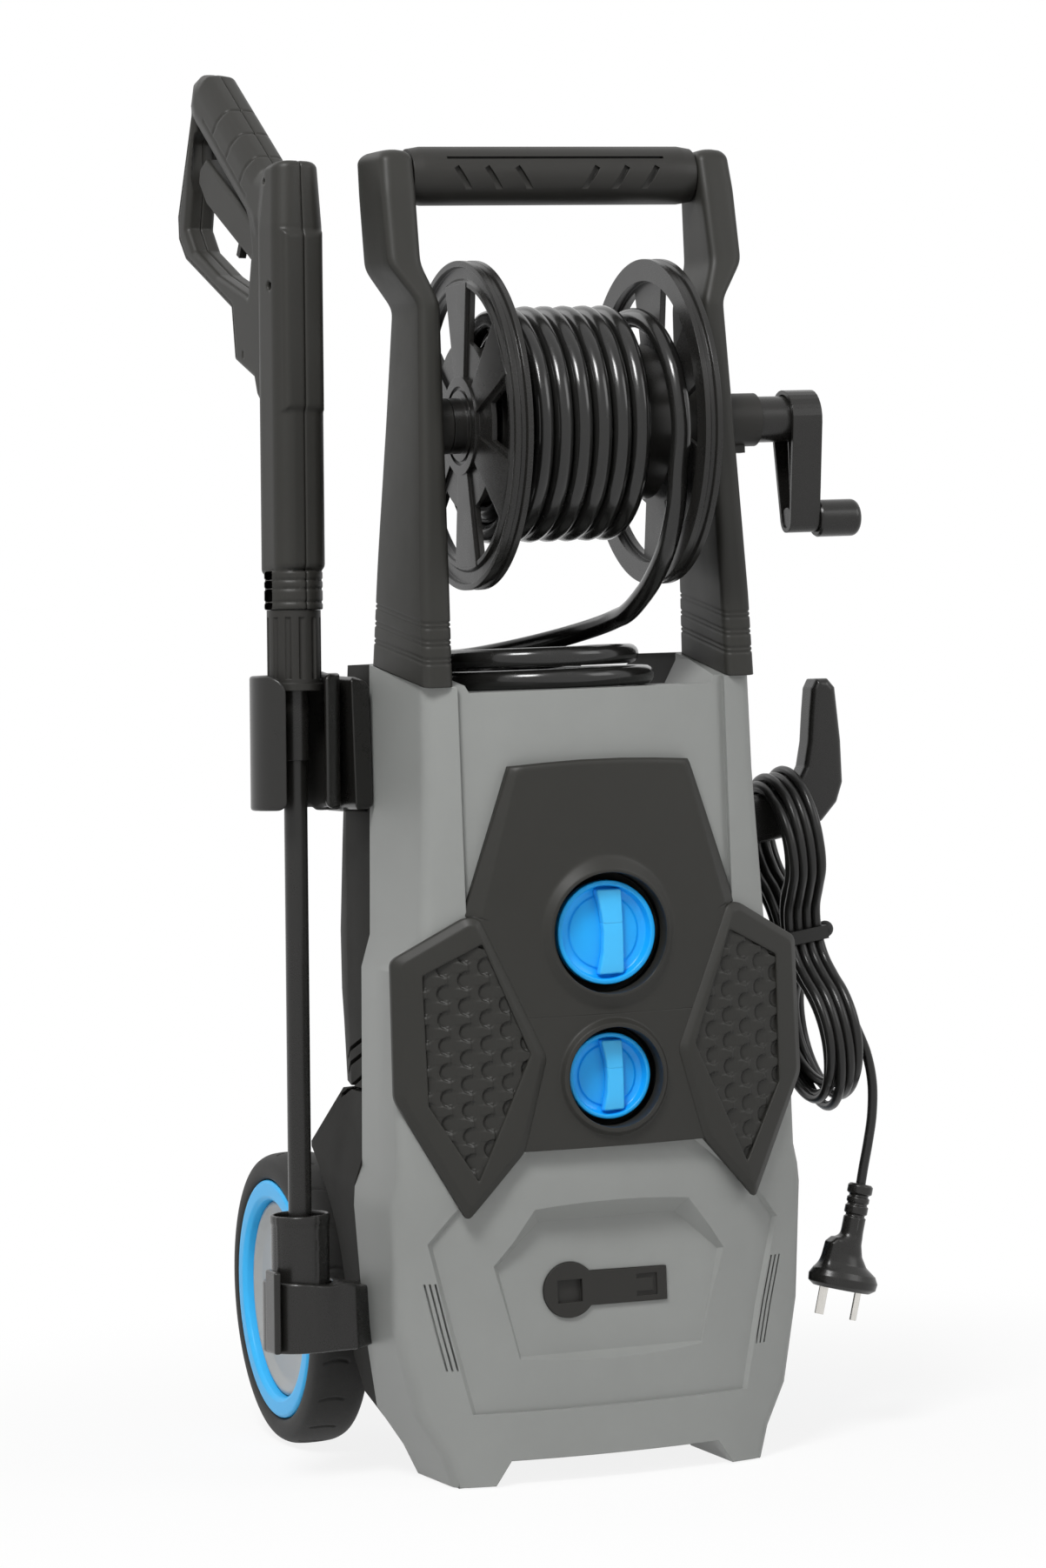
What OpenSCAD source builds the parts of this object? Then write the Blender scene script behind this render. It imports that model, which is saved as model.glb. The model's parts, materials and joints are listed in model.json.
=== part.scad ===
/* [Overall] */
// Half width of the body at its top, at the outer front corner of each column
column_x = 120; // [116:1:124]
// Front of the body on the centre line, measured towards the viewer from the origin
front_y = 158; // [156:1:160]
// Radius of the bowed front face, seen from above
face_r = 450; // [420:10:500]
// Height of the deck that the hose lies on
deck_z = 540; // [536:1:544]

/* [Handle] */
// Height of the crown of the grip bar
crown_z = 912; // [906:1:916]
// Diameter of the grip bar, top to bottom
grip_d = 40; // [36:1:42]

/* [Hose reel] */
// Height of the reel's axis
reel_z = 721.5; // [715:0.5:728]
// Outer radius of the reel's flanges
flange_r = 112; // [108:1:114]
// Distance between the inner faces of the two flanges
reel_gap = 123; // [121:1:124]
// Outer diameter of the high-pressure hose
hose_d = 14; // [12:0.5:14]
// Spokes in each flange
spokes = 6; // [5:1:8]

/* [Wheels] */
// Outer radius of the tyre, which is also the height of the axle
wheel_r = 105; // [100:1:106]
// Width of the tyre
wheel_w = 62; // [56:1:62]
// Radius of the axle
axle_r = 6; // [5:0.5:8]

/* [Controls] */
// Diameter of the upper knob, for power
knob_d = 71; // [64:1:74]
// Diameter of the lower knob, for detergent
small_knob_d = 59; // [52:1:60]

/* [Gun and lance] */
// Lean of the lance in its holders, in degrees
lance_lean = 1.7; // [1.5:0.1:2]
// Turn of the gun about the lance, away from straight back, in degrees
gun_turn = 10; // [8:1:12]
// Diameter of the lance tube
lance_d = 16; // [14:1:18]

/* [Mains cable] */
// Outer diameter of the mains cable
cable_d = 7; // [6:0.5:7.5]

/* [Hidden] */

// Colours
grey = [0.62, 0.63, 0.62];
black = [0.22, 0.22, 0.21];
glossy = [0.10, 0.10, 0.10];
blue = [0.20, 0.62, 0.95];
steel = [0.72, 0.73, 0.74];
rubber = [0.13, 0.13, 0.13];
brass = [0.75, 0.62, 0.32];

// Main planes of the body
seam_y = -59;       // plane where the front and rear housings meet
rise = 0.19;        // slope of the shoulders under the uprights
rear_y = 130;       // back of the rear housing
wheel_y = 112.5;    // axle, front to back
wheel_x = 104;      // inner face of the tyre
reel_y = -105.5;    // axis of the reel
lance_y = -58;      // lance at cup and clip
cup_x = -194.5;     // lance axis at the height cup_top
cup_top = 190;
hook_y = -46;
port_x = 42;        // water connections at the back
port_z = 78;
cap_z = 440;        // filler cap of the detergent tank
gland_y = 22;       // where the mains cable leaves the side
gland_z = 400;
run = 0.05;         // radial play of a running fit
gap = 0.3;          // gap between faces that pass each other
upper_z = 374;      // heights of the two knobs
lower_z = 276;
knob_y = -147.5;    // backs of the two knobs, and the ends of their spindles
small_knob_y = -144;
spindle_y = -121.5;
fn = 64;

// ---------- helpers ----------

// Solid skinned over rings of equal length, stacked upwards, each anticlockwise from above
module skin(rings) {
    n = len(rings[0]);
    m = len(rings);
    sides = [for (j = [0:m - 2], i = [0:n - 1]) let (a = j * n + i, b = j * n + (i + 1) % n)
        each [[a, a + n, b + n], [a, b + n, b]]];
    polyhedron([for (r = rings) each r],
        concat([[for (i = [0:n - 1]) i]], [[for (i = [n - 1:-1:0]) (m - 1) * n + i]], sides));
}

// Unit vector from a towards b
function along(a, b) = (b - a) / norm(b - a);

function at_z(pts, z) = [for (p = pts) [p[0], p[1], z]];
function flip_x(pts) = [for (i = [len(pts) - 1:-1:0]) [-pts[i][0], pts[i][1]]];
function both(pts) = concat(pts, flip_x(pts));

// Flat outline in x and z, pushed from y_front back to y_back
module facing(y_front, y_back) {
    translate([0, y_back, 0]) rotate([90, 0, 0]) linear_extrude(y_back - y_front) children();
}

module both_sides() {
    children();
    mirror([1, 0, 0]) children();
}

// Cylinder along x from x0 to x1
module rod_x(r, x0, x1, y = 0, z = 0, n = fn) {
    translate([x0, y, z]) rotate([0, 90, 0]) cylinder(r = r, h = x1 - x0, $fn = n);
}

// Cylinder along y from y0 to y1
module rod_y(r, y0, y1, x = 0, z = 0, n = fn) {
    translate([x, y1, z]) rotate([90, 0, 0]) cylinder(r = r, h = y1 - y0, $fn = n);
}

// ---------- body ----------

// Height of the sloping shoulder at depth y
function shoulder(y) = deck_z + 4 + rise * (min(y, seam_y) + 149);

// Bowed front face at x: an arc, then a straight wing beyond x = 100
function arc_y(x, r) = r - front_y - (r - face_r) - sqrt(r * r - x * x);
function face_y(x) = abs(x) <= 100 ? arc_y(x, face_r)
    : arc_y(100, face_r) + 0.35 * (abs(x) - 100);

// Point at t along a rounded corner that starts at a, ends at b and has its apex at p
function corner(a, p, b, t) = (1 - t) * (1 - t) * a + 2 * t * (1 - t) * p + t * t * b;

// Plan outline of the front housing: corner at x = cx, seam at x = sx, face moved back by d
function front_half(cx, sx, d) = let (c = cx - 9, y = face_y(cx) + d) concat(
    [for (i = [1:5]) [c * i / 5, face_y(c * i / 5) + d]],
    [for (k = [1:4]) corner([c, face_y(c) + d], [cx, y], [cx, y + 10], k / 4)],
    [[(cx + sx) / 2, (y + 10 + seam_y) / 2], [sx, seam_y]]);
function front_ring(cx, sx, z, d) =
    let (h = front_half(cx, sx, d)) at_z(concat([[0, -front_y + d]], both(h)), z);
function top_ring(cx, sx, d) = [for (p = front_ring(cx, sx, 0, d)) [p[0], p[1], shoulder(p[1])]];

// Front housing before its recesses are cut
module front_block() {
    cx = column_x;
    skin([front_ring(114, 117, 0.5, 13), front_ring(121, 127, 22, 13),
        front_ring(137, 145, 50, 13), front_ring(149, 152, 108, 11),
        front_ring(151, 156, 190, 2), front_ring(149, 155, 203, 0),
        front_ring(146, 149, 217, 0), front_ring(145, 144, 354, 0),
        front_ring(cx + 7, 137, 376, 0), front_ring(cx + 1, 133, 480, 0),
        top_ring(cx, 130, 0)]);
}

// Section of the frame recess: half width w at the floor, which lies d behind the bowed line
function recess_ring(w, d, z) = at_z(concat([for (i = [5:-1:1]) [w * i / 5, face_y(w * i / 5) + d]],
    [[0, face_y(0) + d]], [for (i = [1:5]) [-w * i / 5, face_y(w * i / 5) + d]],
    [[-w - 100, -200], [w + 100, -200]]), z);

dish_half = [[76, 75], [95, 152], [58, 191]];
dish_floor = [[66, 87], [81, 150], [50, 178]];

// Trough between the shoulders, which the loose hose lies in
module deck_trough(y0, y1) {
    facing(y0, y1) polygon(both([[97.5, 600], [97, deck_z + 16], [88, deck_z]]));
}

// Cavity that holds the motor and pump, shared by both housings: the main well, the wide
// foot of the front housing and the two bulges of the rear housing
module cavity() {
    translate([-84, -124, 40]) cube([168, 194, 470]);
    translate([-132, -116, 66]) cube([264, 52, 150]);
    translate([-104, -50, 280]) cube([208, 94, 176]);
    translate([-62, 60, 124]) cube([124, 52, 266]);
}

module front_housing() {
    color(grey) difference() {
        front_block();
        // centre of the face between the columns, 5 mm back
        difference() {
            translate([-97, -200, 228.6]) cube([194, 80, 360]);
            bow_cylinder(face_r - 5);
        }
        deck_trough(-200, 0);
        // lower frame recess, 3.5 mm deep
        skin([recess_ring(98, 16, 50), recess_ring(111, 14.5, 108), recess_ring(125, 8, 168),
            recess_ring(108, 5.5, 189), recess_ring(91, 3.5, 204), recess_ring(60, 3.5, 229)]);
        // six-sided dish with sloping walls
        rotate([90, 0, 0]) skin([at_z(both(dish_floor), 136), at_z(both(dish_half), 152.5),
            at_z(both(dish_half), 175)]);
        // pocket for the insert
        facing(-150, -131) insert_outline(0.2);
        // arch between the feet
        facing(-200, 0) polygon([[-88, -1], [88, -1], [76, 17], [-76, 17]]);
        cavity();
        // sockets of the uprights
        both_sides() translate([100, -132, 470]) cube([16, 56, 120]);
        // wells and spindle holes of the two knobs
        rod_y(41 + gap, -170, knob_y + 0.9, 0, upper_z);
        rod_y(34 + gap, -170, small_knob_y + 0.9, 0, lower_z);
        rod_y(20, -170, -120, 0, upper_z);
        rod_y(16, -170, -120, 0, lower_z);
        // pockets of the rubber feet
        both_sides() translate([92.9, -128.1, -1]) cube([18.2, 54.2, 7.05]);
        // side grooves of the lower frame
        both_sides() for (i = [0:2]) rotate([90, 0, 0])
            translate([123 + 3.5 * i, 141, 126]) rotate([0, 0, -13]) translate([0, -62, 0])
                cube([1.2, 62, 5.4]);
    }
}

module rear_housing() {
    color(black) difference() {
        union() {
            skin([rear_ring(92, 92, 92, 30, 120, 30), rear_ring(94, 94, 94, 60, 128, 60),
                rear_ring(95, 96, 96, 60, rear_y, 262), rear_ring(142, 140, 116, 60, rear_y, 268),
                rear_ring(138, 140, 118, 60, rear_y, 330), rear_ring(136, 139, 118, 60, 128, 372),
                rear_ring(133, 137, 116, 57, 118, 440), rear_ring(130, 134, 112, 52, 100, 520),
                rear_ring(128, 131, 104, 48, 78, deck_z + 21)]);
            both_sides() fender();
            both_sides() rod_x(24, 80, 101, wheel_y, wheel_r);
        }
        // plane in which the two housings meet
        translate([-200, seam_y - 100, -10]) cube([400, 100, 700]);
        deck_trough(-80, 61);
        cavity();
        rod_x(axle_r + run, -110, 110, wheel_y, wheel_r);
        // slanted grooves over the fenders
        both_sides() for (z = [268, 284, 294]) translate([133, -20, z]) rotate([-20, 0, 0])
            translate([0, -60, 0]) cube([12, 90, 3]);
        // vent slots in the back
        for (i = [0:7]) translate([-42, rear_y - 40, 300 + 14 * i]) rotate([-30, 0, 0])
            cube([84, 60, 5]);
        // openings for the water connections, the cable and the tank's filler
        both_sides() rod_y(17, 60, 160, port_x, port_z);
        rod_x(9, 90, 160, gland_y, gland_z);
        rod_x(11 + gap, 127.4, 160, gland_y, gland_z);
        rod_y(27, 108, 160, 0, cap_z);
        rod_y(15.3, 60, 120, 0, cap_z);
        // seats of the hook, the clip and the band
        translate([122, hook_y - 10, 421]) cube([30, 20, 34]);
        translate([-150, -50, 460]) cube([28, 42, 82]);
        translate([-160, -57.5, 95]) cube([22, 12.5, 38]);
    }
}

// Plan ring of the rear housing: half width at the seam, at the shoulder and behind it
function rear_ring(w0, w1, w2, w3, back, z) = at_z(both(concat([[w0 - 2, seam_y - 6]],
    smooth([[w1, -14], [w2, back - 62], [w3 + 14, back - 12], [w3 - 10, back], [6, back]], 2))), z);

// Flared side in front of one wheel, cut by the wheel arch
module fender() {
    difference() {
        skin([
            at_z([[86, seam_y - 5], [130, seam_y - 5], [130, -38], [86, -26]], 34),
            at_z([[86, seam_y - 5], [144, seam_y - 5], [144, -30], [86, 10]], 56),
            at_z([[86, seam_y - 5], [151, seam_y - 5], [150, 10], [86, 30]], 120),
            at_z([[86, seam_y - 5], [155, seam_y - 5], [151, 50], [86, 60]], 204),
            at_z([[86, seam_y - 5], [148, seam_y - 5], [150, 53], [86, 60]], 224),
            at_z([[86, seam_y - 5], [141, seam_y - 5], [139, 8], [86, 24]], 265)]);
        rod_x(wheel_r + 25, 96, 170, wheel_y, wheel_r, 128);
    }
}

// ---------- control panel ----------

// Plate that follows the bowed face, from d0 to d1 in front of it
module bowed(d0, d1) {
    xs = [for (i = [0:15]) i * 10];
    translate([0, 0, 170]) linear_extrude(330) polygon(concat(
        [for (i = [15:-1:1]) [-xs[i], face_y(xs[i]) - d1]], [for (x = xs) [x, face_y(x) - d1]],
        [for (i = [15:-1:1]) [xs[i], face_y(xs[i]) - d0]], [for (x = xs) [-x, face_y(x) - d0]]));
}

// Outline in x and z with its corners rounded off, cut back by r
function soft(pts, r) = let (n = len(pts)) [for (i = [0:n - 1])
    let (p = pts[i], a = p + r * along(p, pts[(i + n - 1) % n]), b = p + r * along(p, pts[(i + 1) % n]))
    for (k = [0:3]) corner(a, p, b, k / 3)];

// Ring of the outline drawn in towards c by the factor k, at h in front of the bowed face
function face_ring(pts, c, k, h) =
    [for (p = pts) let (q = c + k * (p - c)) [q[0], face_y(q[0]) - h, q[1]]];

// Outline of the whole panel, right half: top, waist, wing
panel_half = [[65, 489], [99, 390], [148, 362], [149, 268], [105, 184], [65, 229]];
// Raised rim of a wing, anticlockwise from its tip, its ridge and the edge of its pocket
wing = [[105, 185], [148.7, 268], [147.7, 361.6], [99, 389.4], [90, 388], [48, 292], [65, 229.6]];
wing_ridge = [[99, 207], [130.5, 262], [131, 353], [93, 373], [88.5, 371.5], [57.5, 295], [75, 258]];
wing_pocket = [[98, 211], [128, 263], [129, 351], [93, 369.5], [90, 371], [60, 295], [76, 259.6]];
wing_mid = [96, 290];

module control_panel() {
    color(black) difference() {
        union() {
            intersection() {
                facing(-200, -90) polygon(both(panel_half));
                union() {
                    bowed(0, 5);
                    difference() {
                        translate([-96.8, -170, 229.2]) cube([193.6, 70, 260]);
                        bow_cylinder(face_r - 5);
                        bowed(4.9, 60);
                    }
                }
            }
            // raised collars that the knobs are sunk in
            translate([0, -158, upper_z]) rotate([90, 0, 0])
                cylinder(r1 = 60.8, r2 = 43.2, h = 10.4, $fn = 128);
            translate([0, -160, lower_z]) rotate([90, 0, 0])
                cylinder(r1 = 41.3, r2 = 36.8, h = 8.6, $fn = 128);
        }
        rod_y(41, -180, -140, 0, upper_z);
        rod_y(34, -180, -140, 0, lower_z);
        // bevels along the slanted edges and the top edge
        both_sides() skin([[[87, -156, 380], [104, -158, 380], [104, -146, 380]],
            [[58, -161.5, 493], [70, -164, 493], [70, -152, 493]]]);
        translate([0, face_r - front_y, 0]) rotate_extrude($fn = 360)
            polygon([[face_r - 1, 490], [face_r + 8, 481.5], [face_r + 8, 490]]);
    }
}

module bow_cylinder(r) {
    translate([0, face_r - front_y, 200]) cylinder(r = r, h = 400, $fn = 360);
}

// Raised rim of each wing, sloping up to the ridge round the pocket of its grille
module panel_wings() {
    a = soft(wing, 3);
    b = soft(wing_ridge, 3);
    c = soft(wing_pocket, 1);
    color(black) both_sides() plate_skin([[a, 0.02, 5.7], [a, 0.5, 5.7], [a, 1, 5.7], [a, 1, 6.1],
        [b, 1, 8.8], [c, 1, 8.6], [c, 1, 6.6], [c, 0.5, 6.6], [c, 0.02, 6.6]], a, wing_mid, 20);
}

// Solid on the bowed face: each entry of p has an outline, how far it is drawn in towards c and
// its distance in front of the face; all are cut into the steps of the outline base
module plate_skin(p, base, c, s) {
    skin([for (e = p) face_ring(matched(base, e[0], s), c, e[1], e[2])]);
}

// Outline b cut into as many steps as the edges of outline a need to stay shorter than s
function matched(a, b, s) = let (n = len(a)) [for (i = [0:n - 1])
    let (j = (i + 1) % n, m = ceil(norm(a[j] - a[i]) / s))
    for (k = [0:m - 1]) b[i] + (b[j] - b[i]) * k / m];

// Textured plate in each wing: rows of interlocking half rings
module grille_plates() {
    color(black) both_sides() intersection() {
        facing(-200, -90) offset(delta = -gap) polygon(soft(wing_pocket, 1));
        union() {
            bowed(6.7, 7.4);
            intersection() {
                bowed(7.3, 8.4);
                union() for (i = [0:5], j = [0:9])
                    translate([62 + 14 * i, 0, 218 + 17 * j + (i % 2) * 8.5])
                        facing(-200, -90) difference() {
                            circle(r = 6.4, $fn = 16);
                            circle(r = 4.4, $fn = 16);
                            translate([3, -8]) square(16);
                        }
            }
        }
    }
}

// Keyhole outline of the recess insert, grown by g
module insert_outline(g = 0) {
    translate([-29, 130]) circle(r = 19 + g, $fn = fn);
    polygon([[-20, 118.5 - g], [42 + g, 118 - g], [42 + g, 141 + g], [-20, 142 + g]]);
}

module recess_insert() {
    color(black) difference() {
        facing(-138, -131) insert_outline();
        facing(-150, -134) translate([-38, 121.5]) square([18, 15.5]);
        facing(-150, -136.5) difference() {
            translate([20, 122]) square([15, 15]);
            translate([20, 125]) square([12, 9]);
        }
    }
}

// ---------- uprights and grip ----------

// Section of one upright: inner x, outer x at front and rear, front y and rear y
function upright_ring(xi, xf, xr, yf, yr, z) = at_z([[xi + 2, yf - 1], [xf - 3, yf],
    [xf, yf + 4], [xr, yr - 2], [xr - 3, yr], [xi + 2, yr], [xi, yr - 2], [xi, yf + 2]], z);
function upright_foot(yf, yr) = [for (p = upright_ring(99.5, column_x, 129.5, yf, yr, 0))
    [p[0], p[1], shoulder(p[1]) + 0.05]];

module upright(blind) {
    difference() {
        union() {
            skin([upright_foot(-148, seam_y - 1),
                upright_ring(98.5, 119, 126, -146.5, -64, 600),
                upright_ring(95.5, 111, 111, -140, -76, 803),
                upright_ring(105.5, 129, 130, -132, -77, 830),
                upright_ring(104, 128, 133, -123, -79, 880),
                upright_ring(103.5, 126, 134, -117, -80, 904),
                upright_ring(106, 122, 128, -112, -84, 908.5)]);
            translate([100.1, -131.9, 480]) cube([15.8, 55.8, 75]);
        }
        // bearing of the reel with a counterbore for its flange; the left one is blind
        rod_x(15 + run, 80, blind ? 111 : 150, reel_y, reel_z);
        rod_x(19 + run, 80, 98 + run, reel_y, reel_z);
        if (!blind) rod_x(18.5 + run, 112, 150, reel_y, reel_z);
        // socket of the grip bar
        rod_x(12, 90, 116, -98, crown_z - grip_d / 2 - 2, 32);
        // three double grooves above the foot
        for (z = [563, 575, 587], dz = [0, 3]) translate([80, -170, z + dz]) rotate([10, 0, 0])
            difference() {
                cube([80, 130, 1.2]);
                translate([21.3, 22, -1]) cube([24, 78, 4]);
            }
    }
}

module upright_left() {
    color(black) mirror([1, 0, 0]) upright(true);
}

module upright_right() {
    color(black) upright(false);
}

// Round bar with flats at its ends and slanted finger grooves
module grip_bar() {
    r = grip_d / 2;
    z = crown_z - r;
    color(black) difference() {
        union() {
            rod_x(r, -94, 94, -98, z);
            both_sides() skin_x([[94, r], [103.2, r - 1.5]], z);
            both_sides() rod_x(11.9, 103, 115.9, -98, z - 2, 32);
        }
        translate([-79, -98 - r - 1, z + r - 10]) cube([158, 8, 1.6]);
        both_sides() for (i = [0:2]) translate([24 + 22 * i, -98 - r, z - 4]) rotate([0, 32, 0])
            translate([-2, -2, -16]) cube([4, 5, 26]);
    }
}

// Short cone along x between [x, radius] pairs
module skin_x(p, z) {
    translate([p[0][0], -98, z]) rotate([0, 90, 0])
        cylinder(r1 = p[0][1], r2 = p[1][1], h = p[1][0] - p[0][0], $fn = fn);
}

// ---------- hose reel ----------

// Puts a part drawn about z on the reel's axis, with its base at x = x0
module on_reel(x0) {
    translate([x0, reel_y, reel_z]) rotate([0, 90, 0]) children();
}

shaft_r = 9;
flange_h = 12.4;
web_h = 6;

// Fixed bearings in the uprights; the right one reaches out to the crank
module reel_bushes() {
    color(black) {
        mirror([1, 0, 0]) difference() {
            union() {
                on_reel(84) cylinder(r = 19, h = 14, $fn = fn);
                on_reel(97) cylinder(r = 15, h = 14, $fn = fn);
            }
            on_reel(80) cylinder(r = shaft_r + run, h = 28, $fn = fn);
        }
        difference() {
            union() {
                on_reel(84) cylinder(r = 19, h = 14, $fn = fn);
                on_reel(97) cylinder(r = 15, h = 17, $fn = fn);
                on_reel(112.05) cylinder(r = 18.5, h = 30.9, $fn = fn);
                // grease lug under the collar
                translate([120, reel_y - 5, reel_z - 23]) cube([14, 10, 12]);
            }
            on_reel(80) cylinder(r = shaft_r + run, h = 70, $fn = fn);
        }
    }
}

module reel_shaft() {
    color(steel) rod_x(shaft_r, -107.5, 168, reel_y, reel_z);
}

// Hollow drum with a hub tube and two end walls
module reel_drum() {
    h = reel_gap;
    color(black) on_reel(-h / 2) rotate_extrude($fn = 96)
        polygon([[shaft_r + run, 0], [53, 0], [53, h], [shaft_r + run, h], [shaft_r + run, h - 4],
            [49, h - 4], [49, 4], [15, 4], [15, h - 4.5], [shaft_r + run, h - 4.5]]);
}

// Spoked flange drawn about z, inner face at z = 0
module flange() {
    r = flange_r;
    h = flange_h;
    step = 360 / spokes;
    difference() {
        union() {
            rotate_extrude($fn = 96) polygon([[r - 15, 0], [r, 0], [r, 3.6], [r - 2.2, 4.8],
                [r - 2.2, 7.6], [r, 8.8], [r, h], [r - 4, h], [r - 5, h - 3], [r - 12, h - 3],
                [r - 14, h - 1], [r - 17, h - 1], [r - 17, web_h + 3.6], [20, web_h + 3.6],
                [20, web_h], [r - 15, web_h]]);
            // raised spokes, wider at the rim
            for (i = [0:spokes - 1]) rotate([0, 0, step * i]) translate([0, 0, web_h + 1])
                linear_extrude(h - web_h - 1.6) polygon([[30, -9], [r - 16, -21], [r - 16, 21], [30, 9]]);
            translate([0, 0, 0.2]) cylinder(r = 33.5, h = h + 0.4, $fn = 96);
            translate([0, 0, 0.4]) cylinder(r = 19, h = 21.6, $fn = fn);
        }
        // windows between the spokes
        for (i = [0:spokes - 1]) rotate([0, 0, step * (i + 0.5)]) translate([0, 0, -1])
            linear_extrude(h + 2) difference() {
                polygon([[20, 0], [r * 1.1, -r * 1.1 * tan(16)], [r * 1.1, r * 1.1 * tan(16)]]);
                circle(r = 58, $fn = 96);
                difference() {
                    circle(r = 2 * r, $fn = 96);
                    circle(r = r - 18, $fn = 96);
                }
            }
        translate([0, 0, -1]) cylinder(r = shaft_r + run, h = 40, $fn = fn);
        // ring groove round the hub
        translate([0, 0, h - 1]) rotate_extrude($fn = 64) polygon([[24, 0], [27, 0], [27, 3], [24, 3]]);
    }
}

module flange_right() {
    color(black) on_reel(reel_gap / 2) flange();
}

module flange_left() {
    color(black) mirror([1, 0, 0]) on_reel(reel_gap / 2) flange();
}

crank_len = 70;     // from the reel's axis to the crank grip
crank_x = 165;      // inner face of the crank arm

// Outline of a bar that tapers from a circle r1 at the origin to r2 at distance d
module taper(r1, r2, d) {
    a = asin((r1 - r2) / d);
    polygon(concat([for (i = [0:16]) let (b = -a + (180 + 2 * a) * i / 16) r1 * [cos(b), sin(b)]],
        [for (i = [0:12]) let (b = 180 + a + (180 - 2 * a) * i / 12) [r2 * cos(b), -d + r2 * sin(b)]]));
}

// Places an outline drawn with y up in the plane of the crank, base at x = x0
module crank_plane(x0) {
    translate([x0, reel_y, reel_z]) rotate([90, 0, 90]) children();
}

module crank_arm() {
    color(black) difference() {
        union() {
            difference() {
                crank_plane(crank_x) linear_extrude(22) taper(20, 9.5, crank_len);
                crank_plane(crank_x - 1) linear_extrude(18) taper(17, 6.5, crank_len);
            }
            rod_x(16, 143.3, 184, reel_y, reel_z);
            rod_x(8, crank_x + 1, 184, reel_y, reel_z - crank_len);
            // stiffening rib inside the arm
            translate([crank_x + 4, reel_y - 1, reel_z - crank_len]) cube([16, 2, crank_len]);
        }
        rod_x(shaft_r + run, 140, 168.5, reel_y, reel_z);
        rod_x(5 + run, 172, 190, reel_y, reel_z - crank_len);
    }
}

// Pin in the end of the arm that the grip turns on
module crank_pin() {
    color(steel) rod_x(5, 172.2, 214, reel_y, reel_z - crank_len);
}

module crank_grip() {
    r = 13;
    color(black) on_reel(187.4) translate([crank_len, 0, 0]) rotate_extrude($fn = fn)
        polygon(concat([[5 + run, 0], [r - 1, 0], [r, 1.5]],
            [for (a = [0:15:90]) [r - 5 + 5 * cos(a), 26.6 + 5 * sin(a)]],
            [[0, 31.6], [0, 27.2], [5 + run, 27.2]]));
}

// Hose wound on the drum: the outer shape of two layers
module hose_winding() {
    color(glossy) on_reel(-61) rotate_extrude($fn = 96) polygon([[53.3, 0], [81, 0],
        [81, 7 * hose_d], [53.3, 7 * hose_d]]);
}

// ---------- wheels ----------

module on_wheel() {
    translate([wheel_x, wheel_y, wheel_r]) rotate([0, 90, 0]) children();
}

module tyre() {
    r = wheel_r;
    w = wheel_w;
    rotate_extrude($fn = 128) polygon(concat([[86, 3], [88, 1], [95, 0.5]],
        [for (a = [-80:20:-20]) [r - 10 + 9 * cos(a), 10.5 + 10 * sin(a)]],
        [[r, 14], [r, w - 14]],
        [for (a = [20:20:80]) [r - 10 + 9 * cos(a), w - 10.5 + 10 * sin(a)]],
        [[95, w - 0.5], [88, w - 1], [86, w - 3]]));
}

rim_r = 85.8;

// Blue rim: outer barrel, front ring and a deep inner barrel with a lip for the hub
module rim() {
    w = wheel_w;
    rotate_extrude($fn = 128) polygon([[rim_r, 3.2], [rim_r, w - 2], [rim_r - 2, w - 0.5],
        [74, w - 0.5], [71, w - 3], [71, 33], [66, 33], [66, 29], [74, 29], [74, w - 5],
        [rim_r - 3, w - 5], [rim_r - 3, 3.2]]);
}

// Grey hub disc with five openings and a capped boss
module hub() {
    difference() {
        union() {
            translate([0, 0, 33.1]) cylinder(r = 70.8, h = 4, $fn = 96);
            translate([0, 0, 2]) cylinder(r = 16, h = 42, $fn = fn);
            translate([0, 0, 33]) cylinder(r1 = 30, r2 = 20, h = 9, $fn = fn);
            translate([0, 0, 43]) cylinder(r = 12, h = 5, $fn = fn);
            for (i = [0:4]) rotate([0, 0, 72 * i + 36]) translate([16, -2, 14]) cube([48, 4, 20]);
        }
        for (i = [0:4]) rotate([0, 0, 72 * i]) translate([0, 0, 20]) linear_extrude(30)
            difference() {
                polygon([[12, 0], [80, -40], [80, 40]]);
                circle(r = 33, $fn = fn);
                difference() {
                    circle(r = 120, $fn = 96);
                    circle(r = 62, $fn = 96);
                }
            }
        translate([0, 0, -1]) cylinder(r = axle_r + run, h = 41, $fn = fn);
    }
}

module tyre_right() {
    color(rubber) on_wheel() tyre();
}

module tyre_left() {
    color(rubber) mirror([1, 0, 0]) on_wheel() tyre();
}

module rim_right() {
    color(blue) on_wheel() rim();
}

module rim_left() {
    color(blue) mirror([1, 0, 0]) on_wheel() rim();
}

module hub_right() {
    color(grey) on_wheel() hub();
}

module hub_left() {
    color(grey) mirror([1, 0, 0]) on_wheel() hub();
}

module axle() {
    color(steel) rod_x(axle_r, -wheel_x - 39, wheel_x + 39, wheel_y, wheel_r);
}

// ---------- knobs ----------

// Knob drawn about z, front at z = h, with an upright bar across a dished face; its spindle
// reaches back by the length l
module knob(r, spindle, l) {
    h = 14;
    rotate_extrude($fn = 96) polygon([[0, 0], [r - 2, 0], [r, 2], [r, h - 2], [r - 1.5, h],
        [r - 4, h], [r - 6, h - 5], [0, h - 6]]);
    intersection() {
        translate([0, 0, 1]) cylinder(r = r - 4.5, h = h, $fn = 96);
        linear_extrude(h + 1) difference() {
            translate([-9, -r]) square([18, 2 * r]);
            translate([-r - 14, 0]) circle(r = r + 7.5, $fn = 96);
        }
    }
    translate([0, 0, -l]) cylinder(r = spindle, h = l + 1, $fn = fn);
}

module power_knob() {
    color(blue) translate([0, knob_y, upper_z]) rotate([90, 0, 0])
        knob(knob_d / 2, 8, spindle_y - knob_y);
}

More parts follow.
